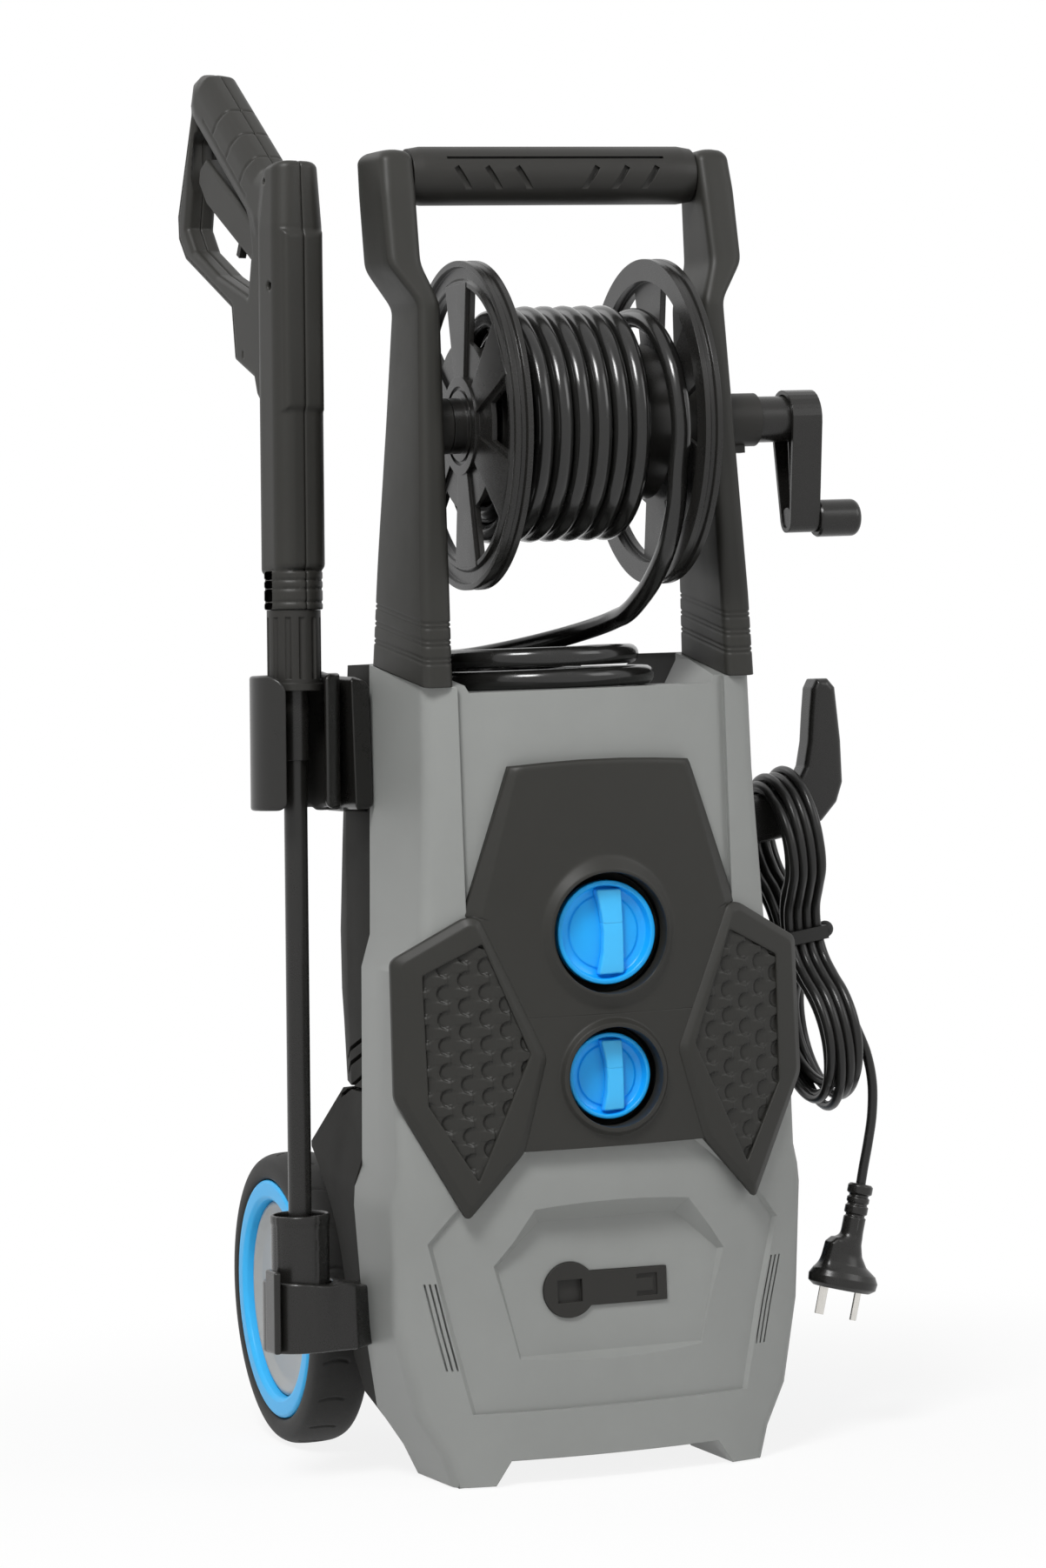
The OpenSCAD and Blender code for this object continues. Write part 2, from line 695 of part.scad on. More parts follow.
module detergent_knob() {
    color(blue) translate([0, small_knob_y, lower_z]) rotate([90, 0, 0])
        knob(small_knob_d / 2, 6, spindle_y - small_knob_y);
}

// ---------- gun and lance ----------

lance_z = cup_top + 6;   // height at which the lance axis passes cup_x

// Frame of the leaning lance: its axis is z, and heights are counted from lance_z
module on_lance() {
    translate([cup_x, lance_y, lance_z]) rotate([0, lance_lean, 0]) children();
}

// Frame of the gun: x runs back from the lance axis along the handle, y is its thickness
module on_gun() {
    on_lance() rotate([0, 0, 90 + gun_turn]) translate([0, 0, -lance_z]) children();
}

// Outline drawn in x and z, centred on y = 0, of thickness t
module slab(t) {
    rotate([90, 0, 0]) translate([0, 0, -t / 2]) linear_extrude(t) children();
}

// Tube or rod in the lance frame between two real heights
module lance_rod(r1, r2, z0, z1, n = fn) {
    on_lance() translate([0, 0, z0 - lance_z]) cylinder(r1 = r1, r2 = r2, h = z1 - z0, $fn = n);
}

gun_outline = [[-19, 640], [-19, 870], [-16, 888], [8, 896], [20, 901], [103, 976], [112, 978],
    [122, 973], [127, 955], [148, 878], [146, 862], [137, 851], [70, 813], [65, 778], [34, 764],
    [31, 752], [22, 742], [19, 640]];
guard_hole = [[43, 878], [125, 950], [136, 868], [125, 855], [90, 836], [40, 818], [36, 850]];
trigger_at = [34, 845];

module gun_body() {
    difference() {
        union() {
            slab(26) polygon(gun_outline);
            slab(32) offset(delta = -3) polygon(gun_outline);
            translate([0, 0, 603.6]) cylinder(r = 20, h = 250, $fn = 96);
            translate([0, 0, 853.6]) cylinder(r1 = 20, r2 = 15, h = 24, $fn = 96);
            // raised plate on the front of the barrel
            translate([-22, -10, 740]) cube([10, 20, 110]);
        }
        slab(60) polygon(guard_hole);
        // three grooves of the nose ring
        for (z = [608, 615, 622]) translate([0, 0, z]) rotate_extrude($fn = 96)
            polygon([[18.8, 0], [23, 0], [23, 1.6], [18.8, 1.6]]);
        // slot and bearing of the trigger
        slab(14) polygon([[20, 826], [46, 826], [50, 864], [44, 884], [20, 868]]);
        translate([trigger_at[0], 11, trigger_at[1]]) rotate([90, 0, 0])
            cylinder(r = 3 + run, h = 22, $fn = 32);
        // chamber of the valve and socket of the lance
        translate([0, 0, 600]) cylinder(r = 12 + run, h = 50, $fn = fn);
        translate([0, 0, 649]) cylinder(r = 9, h = 160, $fn = fn);
        translate([-12, -12, 790]) cube([28, 24, 60]);
        // screw hole in the side
        translate([18, 0, 821]) rotate([90, 0, 0]) translate([0, 0, -30]) cylinder(r = 3, h = 60, $fn = 32);
    }
}

module gun_shell_left() {
    color(black) on_gun() intersection() {
        gun_body();
        translate([-60, 0, 590]) cube([260, 60, 420]);
    }
}

module gun_shell_right() {
    color(black) on_gun() intersection() {
        gun_body();
        translate([-60, -60, 590]) cube([260, 60, 420]);
    }
}

// Valve block, the pipe down to the lance and the push rod under the trigger
module gun_valve() {
    color(brass) on_gun() {
        translate([-10, -10, 792]) cube([24, 20, 56]);
        translate([0, 0, 652]) cylinder(r = 8, h = 141, $fn = fn);
    }
}

// Lever with its own trunnions
module trigger() {
    color(black) on_gun() difference() {
        union() {
            slab(12) polygon([[27, 838], [36, 833], [47, 850], [92, 870], [129, 907], [125, 916],
                [108, 903], [44, 862], [28, 854]]);
            translate([trigger_at[0], 10.8, trigger_at[1]]) rotate([90, 0, 0])
                cylinder(r = 3, h = 21.6, $fn = 32);
        }
        // slot and pin hole of the lock
        translate([56, -3, 850]) cube([20, 6, 40]);
        translate([66, 8, 866]) rotate([90, 0, 0]) cylinder(r = 1.5 + run, h = 16, $fn = 32);
    }
}

// Small catch that hangs in the trigger's slot
module trigger_lock() {
    color(black) on_gun() {
        translate([66, 2.7, 866]) rotate([90, 0, 0]) cylinder(r = 3.4, h = 5.4, $fn = 32);
        translate([66, 5.8, 866]) rotate([90, 0, 0]) cylinder(r = 1.5, h = 11.6, $fn = 32);
        slab(5.4) polygon([[63, 864.5], [69, 864.5], [76, 849], [72, 846.5]]);
    }
}

module lance_tube() {
    color(black) {
        lance_rod(lance_d / 2, lance_d / 2, 150, 498);
        lance_rod(10, 10, 498, 601);
        lance_rod(12, 12, 601, 649);
    }
}

// Fluted collar that turns on the head of the lance
module lance_collar() {
    color(black) on_lance() translate([0, 0, 545.6 - lance_z]) difference() {
        union() {
            cylinder(r = 18.5, h = 55, $fn = 96);
            cylinder(r = 19.5, h = 5, $fn = 96);
        }
        for (i = [0:11]) rotate([0, 0, 30 * i]) translate([19.8, 0, 8]) cylinder(r = 2.6, h = 42, $fn = 16);
        translate([0, 0, -1]) cylinder(r = 10 + run, h = 60, $fn = fn);
    }
}

module nozzle() {
    color(black) difference() {
        union() {
            lance_rod(9, 11, 101, 108);
            lance_rod(11, 11, 108, 160);
            lance_rod(11, 8.2, 160, 168);
        }
        lance_rod(lance_d / 2 + run, lance_d / 2 + run, 149.9, 170);
        lance_rod(2.5, 2.5, 100, 150, 32);
    }
}

// ---------- holders on the sides ----------

// Split ring that the lance clips into, on a wedge-shaped bracket
module lance_clip() {
    color(black) {
        difference() {
            union() {
                lance_rod(30.7, 30.7, 464.6, 556.8, 96);
                skin([at_z([[-166, -74], [-137.2, -55], [-137.2, 4], [-166, -42]], 464.6),
                    at_z([[-166, -74], [-134.5, -55], [-134.5, -2], [-166, -42]], 520),
                    at_z([[-166, -74], [-131.8, -55], [-131.8, -8], [-166, -42]], 553)]);
                translate([-149.8, -49.8, 460.2]) cube([27.6, 38, 81.6]);
            }
            lance_rod(25, 25, 450, 570, 96);
            on_lance() translate([-14, -40, 460 - lance_z]) cube([28, 40, 110]);
            // hollow of the bracket, open at the back
            translate([-158, -38, 470]) rotate([0, 0, -52]) cube([10, 60, 72]);
        }
    }
}

// Cup that the nozzle stands in
module lance_cup() {
    color(black) difference() {
        lance_rod(21, 21, 95, 185, 96);
        lance_rod(18, 18, 99, 190, 96);
        lance_rod(6, 6, 90, 100);
    }
}

// Band that carries the cup, with a wavy top edge and an arm to the body
module cup_band() {
    color(black) difference() {
        union() {
            lance_rod(26.5, 26.5, 93, 145, 96);
            translate([-180, -57.3, 95.2]) cube([41, 12.1, 37.6]);
            translate([-180, -66, 95.2]) cube([27, 20.8, 37.6]);
        }
        lance_rod(21 + run, 21 + run, 90, 190, 96);
        // top edge falls from the outside towards the body
        rod_y(34, -100, 0, cup_x + 12, 168, 96);
    }
}

hook_outline = [[138, 419], [186, 429], [208, 439], [220, 453], [223.5, 463], [223.5, 494],
    [221, 533], [208, 538], [203, 535], [199.5, 514], [195.5, 489.5], [192.5, 477], [188, 467],
    [180, 459], [138, 457]];

// Cable hook: a rising arm with a foot in the side of the body
module cable_hook() {
    color(black) union() {
        facing(hook_y - 12, hook_y + 12) difference() {
            polygon(hook_outline);
            offset(delta = -4) polygon(hook_outline);
        }
        facing(hook_y - 8, hook_y + 8) polygon(hook_outline);
        translate([122.2, hook_y - 9.8, 421.2]) cube([18, 19.6, 33.6]);
    }
}

// Bush in the side of the body with a tapered sleeve for the cable
module cable_gland() {
    color(black) difference() {
        translate([104, gland_y, gland_z]) rotate([0, 90, 0]) union() {
            cylinder(r = 9 - run, h = 24, $fn = fn);
            translate([0, 0, 23.5]) cylinder(r = 11, h = 5.5, $fn = fn);
            translate([0, 0, 28]) cylinder(r1 = 7.4, r2 = 5.2, h = 26, $fn = fn);
        }
        rod_x(cable_d / 2 + run, 96, 170, gland_y, gland_z);
    }
}

module foot_pads() {
    color(rubber) both_sides() translate([93, -128, 0]) cube([18, 54, 6]);
}

// ---------- inside the body ----------

module motor() {
    color(steel) {
        difference() {
            translate([0, -20, 160]) cylinder(r = 56, h = 170, $fn = 96);
            for (i = [0:11]) translate([0, -20, 180]) rotate([0, 0, 30 * i]) translate([54, -2, 0])
                cube([6, 4, 130]);
        }
        translate([0, -20, 329]) cylinder(r = 7, h = 34, $fn = fn);
    }
}

// Cooling fan on the motor's shaft
module motor_fan() {
    color(black) translate([0, -20, 341]) difference() {
        union() {
            cylinder(r = 14, h = 16, $fn = fn);
            cylinder(r = 50, h = 3, $fn = 96);
            for (i = [0:6]) rotate([0, 0, 360 / 7 * i]) translate([10, -1.5, 1]) cube([38, 3, 14]);
        }
        translate([0, 0, -1]) cylinder(r = 7 + run, h = 20, $fn = fn);
    }
}

module pump() {
    color(steel) {
        translate([0, -20, 100]) cylinder(r = 48, h = 59.8, $fn = 96);
        translate([-60, -50, 46]) cube([120, 100, 54]);
        both_sides() rod_y(16, 40, 68, port_x, port_z);
    }
}

// Threaded connection with a flange, drawn along -y
module port(r, y_end) {
    difference() {
        union() {
            rod_y(r, 68.2, y_end, port_x, port_z);
            rod_y(16.8, 116, 124, port_x, port_z);
        }
        rod_y(r - 4, 90, y_end + 1, port_x, port_z);
    }
}

module inlet_connector() {
    color(brass) mirror([1, 0, 0]) port(13, 150);
}

module outlet_connector() {
    color(brass) port(11, 146);
}

module stop_switch() {
    color(black) translate([-83.9, -100, 60]) cube([22, 34, 40]);
}

module capacitor() {
    color(grey) translate([62, -96, 180]) cylinder(r = 20, h = 80, $fn = fn);
}

module power_switch() {
    color(black) difference() {
        translate([-24, -123.9, upper_z - 24]) cube([48, 44, 48]);
        rod_y(8 + gap, -130, -118, 0, upper_z);
    }
}

module detergent_tank() {
    color(grey) difference() {
        union() {
            translate([-80, 8, 396]) cube([160, 60, 110]);
            rod_y(15, 60, 127, 0, cap_z);
        }
        rod_y(11, 80, 130, 0, cap_z);
    }
}

module detergent_cap() {
    color(black) difference() {
        rod_y(23, 109, 136, 0, cap_z);
        rod_y(15 + run, 100, 129, 0, cap_z);
        for (i = [0:11]) translate([0, 0, cap_z]) rotate([0, 30 * i, 0]) translate([24.2, 104, 0])
            rod_y(2.4, 0, 40, 0, 0, 16);
    }
}

// ---------- hose and cable ----------

// Direction of a route at its point i
function heading(p, i) = along(p[max(i - 1, 0)], p[min(i + 1, len(p) - 1)]);

// Ring of n points of radius r round route point i; ref is a direction the route never takes
function cord_ring(p, i, r, n, ref) =
    let (t = heading(p, i), u = cross(ref, t) / norm(cross(ref, t)), v = cross(t, u))
    [for (k = [0:n - 1]) p[i] + r * (cos(360 * k / n) * u + sin(360 * k / n) * v)];

// Points of a smooth curve through the route, steps to each stretch
function smooth(p, steps) = let (n = len(p)) concat([for (i = [0:n - 2], s = [0:steps - 1])
    let (a = p[max(i - 1, 0)], b = p[i], c = p[i + 1], d = p[min(i + 2, n - 1)], t = s / steps)
    0.5 * (2 * b + t * (c - a) + t * t * (2 * a - 5 * b + 4 * c - d)
        + t * t * t * (3 * b - a - 3 * c + d))], [p[n - 1]]);

// Tube of radius r swept along a route
module cord(route, r, n, steps, ref) {
    p = smooth(route, steps);
    skin([for (i = [0:len(p) - 1]) cord_ring(p, i, r, n, ref)]);
}

// Loose hose: last turn on the reel, then down its front into the trough
last_turn = [for (a = [200:-20:20]) let (r = 62 + 17 * (200 - a) / 200)
    [46 + 11 * (200 - a) / 200, reel_y - r * cos(a), reel_z + r * sin(a)]];
hose_route = concat(last_turn, [[57, -184, 715], [55, -181, 687], [54, -176, 660], [53, -160, 634],
    [52, -134, 612], [51, -108, 598], [50, -88, 590], [50, -70, 587], [41, -44, 581], [26, -26, 575],
    [6, -15, 571]]);

// End of the hose between the last lap in the trough and its coupling
stub_route = [[37, -17, 548], [20, -4, 548], [0, 9, 549], [-20, 19, 550], [-40, 24, 551]];

module hose_tail() {
    color(glossy) {
        cord(hose_route, hose_d / 2, 10, 2, [1, 0, 0]);
        cord(stub_route, hose_d / 2, 10, 1, [0, 0, 1]);
    }
}

coil_at = [-11, -74.5];
coil_r = 69;

// Loose turns lying in the trough: the outer shape of two laps
module hose_coil() {
    color(glossy) translate([coil_at[0], coil_at[1], deck_z + 0.2]) rotate_extrude($fn = 96)
        polygon(concat([for (a = [-80:20:0]) [coil_r + 1 + 7 * cos(a), 7 + 7 * sin(a)]],
            [for (a = [0:20:180]) [coil_r + 8 * cos(a), 21.5 + 7 * sin(a)]],
            [for (a = [180:20:260]) [coil_r - 1 + 7 * cos(a), 7 + 7 * sin(a)]]));
}

module hose_coupling() {
    color(black) difference() {
        union() {
            rod_x(10, -82, -56, 24, deck_z + 11);
            rod_x(8, -56, -40, 24, deck_z + 11);
        }
        rod_x(5, -90, -60, 24, deck_z + 11, 32);
    }
}

cord_route = [[157, gland_y, gland_z], [164, 22, 401], [170, 21, 402], [175, 19, 405], [180, 17, 408],
    [184, 15, 412], [187, 12, 417], [189, 9, 422], [189, 6, 427]];
tail_route = [[206, -66, 330], [210, -72, 315], [216, -77, 296], [223, -80, 275], [228, -80, 250],
    [227, -80, 228], [223, -80, 208], [218.6, -80, 190.8], [214.8, -80, 173.2]];

module power_cord() {
    color(glossy) {
        cord(cord_route, cable_d / 2, 8, 1, [0, 0, 1]);
        cord(tail_route, cable_d / 2, 8, 2, [0, 1, 0]);
    }
}

hank_lean = 8;
hank_t = 28;        // thickness of the hank, four cables wide

// Frame of the hank, which leans outwards from the hook
module on_hank() {
    translate([199, 0, 280]) rotate([0, -hank_lean, 0]) translate([-hank_t / 2, 0, -280]) children();
}

module hank_outline() {
    translate([-44, 425]) circle(r = 49, $fn = fn);
    translate([-50, 286]) circle(r = 54, $fn = fn);
    polygon([[-90, 396], [-64, 366], [-64, 348], [-98, 310], [-2, 310], [-32, 348], [-32, 366],
        [0, 400]]);
}

// Hank of the mains cable, hung on the hook: the outer shape of its loops
module cord_hank() {
    color(glossy) difference() {
        on_hank() difference() {
            rotate([90, 0, 90]) linear_extrude(hank_t) difference() {
                hank_outline();
                translate([-44, 428]) circle(r = 33, $fn = fn);
                translate([-50, 284]) circle(r = 37, $fn = fn);
            }
            // waist that the tie draws in
            translate([-2, -66, 352]) difference() {
                translate([-10, -10, 0]) cube([60, 60, 10]);
                translate([3, 3.5, -1]) cube([hank_t - 2, 29, 12]);
            }
        }
        // the loops lie round the arm of the hook
        facing(hook_y - 12 - gap, hook_y + 12 + gap) offset(delta = gap) polygon(hook_outline);
    }
}

// Tie round the hank's waist, with its round catch
module cord_tie() {
    color(rubber) on_hank() {
        translate([-1.8, -65.3, 352.3]) difference() {
            cube([hank_t + 3.6, 34.6, 9.4]);
            translate([2.9, 2.9, -1]) cube([hank_t - 2.2, 28.8, 12]);
        }
        translate([hank_t + 7, -48, 357]) sphere(r = 6, $fn = 24);
        translate([hank_t + 1, -51, 354]) cube([4, 6, 6]);
    }
}

// Frame of the plug: its face is z = 0, the cable leaves along z
module on_plug() {
    translate([199, -80, 99]) rotate([0, 12, 0]) children();
}

module plug_body() {
    color(black) on_plug() difference() {
        union() {
            intersection() {
                cylinder(r = 26, h = 16, $fn = 96);
                translate([-26, -17, 0]) cube([52, 34, 16]);
            }
            slab(24) polygon([[-25, 1], [25, 1], [24, 16], [10, 40], [-10, 40], [-24, 16]]);
            rotate_extrude($fn = fn) polygon([[0, 10], [16, 10], [15, 18], [9, 42], [8, 44],
                [8, 50], [6.6, 51], [6.6, 53], [7.6, 54], [7.6, 59], [6.2, 60], [6.2, 62], [7, 63],
                [7, 68], [5.6, 69], [5.2, 75.6], [0, 75.6]]);
        }
        both_sides() translate([-10, 0, -1]) rotate([0, 0, 30]) translate([-3.2, -0.9, 0])
            cube([6.4, 1.8, 8]);
    }
}

// Two flat pins at an angle to each other
module plug_pins() {
    color(brass) on_plug() both_sides() translate([-10, 0, -17]) rotate([0, 0, 30])
        translate([-3.15, -0.85, 0]) cube([6.3, 1.7, 23]);
}

front_housing();
rear_housing();
control_panel();
panel_wings();
grille_plates();
recess_insert();
upright_left();
upright_right();
grip_bar();
reel_bushes();
lance_clip();
lance_cup();
cup_band();
cable_hook();
cable_gland();
foot_pads();
motor();
pump();
inlet_connector();
outlet_connector();
stop_switch();
power_switch();
capacitor();
detergent_tank();
axle();
motor_fan();
detergent_cap();
reel_drum();
reel_shaft();
flange_left();
flange_right();
crank_arm();
crank_pin();
hose_winding();
crank_grip();
tyre_left();
rim_left();
hub_left();
tyre_right();
rim_right();
hub_right();
power_knob();
detergent_knob();
gun_shell_left();
gun_shell_right();
gun_valve();
lance_tube();
nozzle();
lance_collar();
trigger();
trigger_lock();
hose_tail();
hose_coil();
hose_coupling();
power_cord();
cord_hank();
cord_tie();
plug_body();
plug_pins();
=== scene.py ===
# %% [markdown]
# # An upright pressure washer
# This notebook dresses a CAD model of a pressure washer. The CAD model holds every rigid part at
# its real size. Here each part gets its finish, the hose and the mains cable become real lengths
# of something flexible, and the moulded shells that need soft edges are made again as smooth
# surfaces. X runs to the right of someone facing the panel, Y to the back and Z up. Blender works
# in metres; sizes of parts are written in millimetres, as in the CAD model, and scaled by MM.

# %% Load the frame
import functools
import json
import math

import bmesh
import bpy
import numpy as np
from mathutils import Matrix, Vector


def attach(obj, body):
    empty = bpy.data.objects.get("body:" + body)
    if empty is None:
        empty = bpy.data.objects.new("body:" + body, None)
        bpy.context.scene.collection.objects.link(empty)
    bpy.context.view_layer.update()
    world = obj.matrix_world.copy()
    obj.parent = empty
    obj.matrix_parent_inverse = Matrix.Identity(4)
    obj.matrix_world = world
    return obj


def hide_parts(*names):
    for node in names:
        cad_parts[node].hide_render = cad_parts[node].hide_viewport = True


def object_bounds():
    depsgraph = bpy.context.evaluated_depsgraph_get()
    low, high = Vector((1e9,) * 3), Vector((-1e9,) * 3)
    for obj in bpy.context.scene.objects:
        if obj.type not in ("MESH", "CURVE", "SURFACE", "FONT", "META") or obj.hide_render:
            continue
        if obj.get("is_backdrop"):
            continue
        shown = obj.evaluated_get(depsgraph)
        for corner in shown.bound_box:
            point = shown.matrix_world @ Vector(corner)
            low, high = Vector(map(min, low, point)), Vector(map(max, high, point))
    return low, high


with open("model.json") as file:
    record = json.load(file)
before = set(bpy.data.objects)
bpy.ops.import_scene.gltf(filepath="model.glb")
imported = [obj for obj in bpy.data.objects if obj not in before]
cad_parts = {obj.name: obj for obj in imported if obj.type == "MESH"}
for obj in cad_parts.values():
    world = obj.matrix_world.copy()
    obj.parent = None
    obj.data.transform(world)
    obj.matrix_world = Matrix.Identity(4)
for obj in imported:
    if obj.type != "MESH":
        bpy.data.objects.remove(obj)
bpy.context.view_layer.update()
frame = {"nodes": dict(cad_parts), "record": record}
MM = 0.001

# %% [markdown]
# ## The camera
# A photographer stands a little to the left of the machine, some 3.4 m away, with a long lens, so
# the sides stay almost parallel. Building the camera first lets every later step be looked at
# from the place that matters. The camera is turned by its three axes: back, right and up.

# %% Place the camera
CAMERA_AT = Vector((-1.1492, -3.1544, 0.5842))
AZIMUTH, PITCH, ROLL = (math.radians(a) for a in (-20.03, 1.917, -2.135))
SENSOR = 36.0
LENS = 3.01947 * SENSOR


def camera_axes(azimuth, pitch, roll):
    """Axes of a camera: back from two angles, right level with the ground, both turned by roll."""
    back = Vector((math.sin(azimuth) * math.cos(pitch), -math.cos(azimuth) * math.cos(pitch),
                   math.sin(pitch)))
    level = (-back).cross(Vector((0, 0, 1))).normalized()
    above = level.cross(-back)
    right = math.cos(roll) * level + math.sin(roll) * above
    up = math.cos(roll) * above - math.sin(roll) * level
    return right, up, back


def make_camera():
    """Camera whose matrix has right, up and back as its columns."""
    data = bpy.data.cameras.new("camera")
    data.sensor_fit = "VERTICAL"
    data.sensor_height = SENSOR
    data.lens = LENS
    camera = bpy.data.objects.new("camera", data)
    bpy.context.scene.collection.objects.link(camera)
    turn = Matrix(camera_axes(AZIMUTH, PITCH, ROLL)).transposed()
    camera.matrix_world = Matrix.Translation(CAMERA_AT) @ turn.to_4x4()
    bpy.context.scene.camera = camera


make_camera()
print("lens", round(LENS, 1), "mm")

# %% [markdown]
# ## Surfaces from arrays
# Every new piece is a grid of points that numpy works out as a whole array: a profile carried
# along a path, or a height over a plan. One function turns such a grid into a mesh, and joins its
# last row or column to the first where the surface closes on itself. Another one puts the mesh
# on its body, hides the CAD nodes that it stands for, and gives it its slot's finish or its own.

# %% Turn grids into pieces
def grid_faces(rows, columns, close_rows=False, close_columns=False):
    """Quads between neighbouring grid points, numbered row by row; % wraps the closed ways."""
    r = np.arange(rows if close_rows else rows - 1)
    c = np.arange(columns if close_columns else columns - 1)
    r, c = np.meshgrid(r, c, indexing="ij")
    r2, c2 = (r + 1) % rows, (c + 1) % columns
    return np.stack([r * columns + c, r * columns + c2, r2 * columns + c2, r2 * columns + c],
                    -1).reshape(-1, 4)


def add_piece(name, mesh, body, slot, stands_for=(), finish=None):
    """Object of a mesh that rides on a CAD body in place of CAD nodes."""
    piece = bpy.data.objects.new(name, mesh)
    bpy.context.scene.collection.objects.link(piece)
    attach(piece, body)
    if stands_for:
        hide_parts(*stands_for)
    dress(piece, finish or FINISHES[slot])
    return piece


def make_piece(name, points, faces, body, slot, stands_for=(), finish=None):
    """Piece from an array of points and a list of faces."""
    mesh = bpy.data.meshes.new(name)
    mesh.from_pydata(np.asarray(points, float).tolist(), [], [list(map(int, f)) for f in faces])
    mesh.validate()
    mesh.shade_smooth()
    return add_piece(name, mesh, body, slot, stands_for, finish)


# %% [markdown]
# ## Tubes along a path
# A hose is a circle carried along a smooth line. The line runs through listed points, and is then
# resampled at even steps. The circle's frame is carried from one step to the next with the least
# turning, so the tube never twists.

# %% Paths and tubes
def smooth_path(points, step):
    """Catmull-Rom curve through points: each stretch is a cubic whose slope at a point is half the
    vector between its neighbours. The curve is then cut into equal steps of about the given
    length."""
    p = np.asarray(points, float)
    p = np.vstack([2 * p[0] - p[1], p, 2 * p[-1] - p[-2]])
    t = np.linspace(0, 1, 12, endpoint=False)[:, None, None]
    a, b, c, d = p[:-3], p[1:-2], p[2:-1], p[3:]
    fine = 0.5 * (2 * b + t * (c - a) + t**2 * (2 * a - 5 * b + 4 * c - d)
                  + t**3 * (3 * b - a - 3 * c + d))
    fine = np.vstack([fine.transpose(1, 0, 2).reshape(-1, 3), p[-2]])
    return even_steps(fine, step)


def even_steps(line, step):
    """Points at equal distances along a broken line."""
    far = np.concatenate([[0], np.cumsum(np.linalg.norm(np.diff(line, axis=0), axis=1))])
    at = np.linspace(0, far[-1], max(int(round(far[-1] / step)), 2) + 1)
    return np.stack([np.interp(at, far, column) for column in line.T], -1)


def path_length(line):
    """Sum of the steps of a broken line."""
    return float(np.linalg.norm(np.diff(line, axis=0), axis=1).sum())


def even_loop(line, count):
    """Points at equal distances round a closed line, which starts at its first point."""
    closed = np.vstack([line, line[:1]])
    return even_steps(closed, path_length(closed) / count)[:-1]


def carried_frames(line):
    """Two directions across the path at each point, turned as little as possible from step to
    step."""
    along = np.gradient(line, axis=0)
    along /= np.linalg.norm(along, axis=1, keepdims=True)
    across = np.zeros_like(line)
    start = np.cross(along[0], [0.0, 0.3, 1.0])
    across[0] = start / np.linalg.norm(start)
    for i in range(1, len(line)):
        v = across[i - 1] - along[i] * (across[i - 1] @ along[i])
        across[i] = v / np.linalg.norm(v)
    return across, np.cross(along, across)


def tube(name, line, radius, body, slot, stands_for, sides=16):
    """Circle carried along a line: point + radius * (cos * across + sin * second across), with a
    fan of triangles over each end."""
    u, v = carried_frames(line)
    a = np.linspace(0, 2 * np.pi, sides, endpoint=False)[None, :, None]
    ring = line[:, None] + radius * (np.cos(a) * u[:, None] + np.sin(a) * v[:, None])
    points = np.vstack([ring.reshape(-1, 3), line[0], line[-1]])
    faces = grid_faces(len(line), sides, close_columns=True)[:, ::-1].tolist()
    last = (len(line) - 1) * sides
    for k in range(sides):
        following = (k + 1) % sides
        faces += [[k, following, len(points) - 2], [last + following, last + k, len(points) - 1]]
    return make_piece(name, points, faces, body, slot, stands_for)


# %% [markdown]
# ## Shader maths as plain expressions
# A procedural material is a small formula. Two classes let it be written as one: a Value is a
# socket that +, - and * work on, each adding one Math node, and a Finish is a material with one
# method that adds any other node from its type, its settings and the values of its sockets.

# %% Wrap sockets and nodes
class Value:
    """A socket of a node tree. Arithmetic on it adds Math nodes and gives a new Value."""

    def __init__(self, finish, socket):
        self.finish = finish
        self.socket = socket

    def maths(self, operation, first, second):
        return self.finish.node("Math", {"operation": operation}, {0: first, 1: second})

    def __add__(self, other):
        return self.maths("ADD", self, other)

    def __sub__(self, other):
        return self.maths("SUBTRACT", self, other)

    def __rsub__(self, other):
        return self.maths("SUBTRACT", other, self)

    def __mul__(self, other):
        return self.maths("MULTIPLY", self, other)

    __radd__ = __add__
    __rmul__ = __mul__


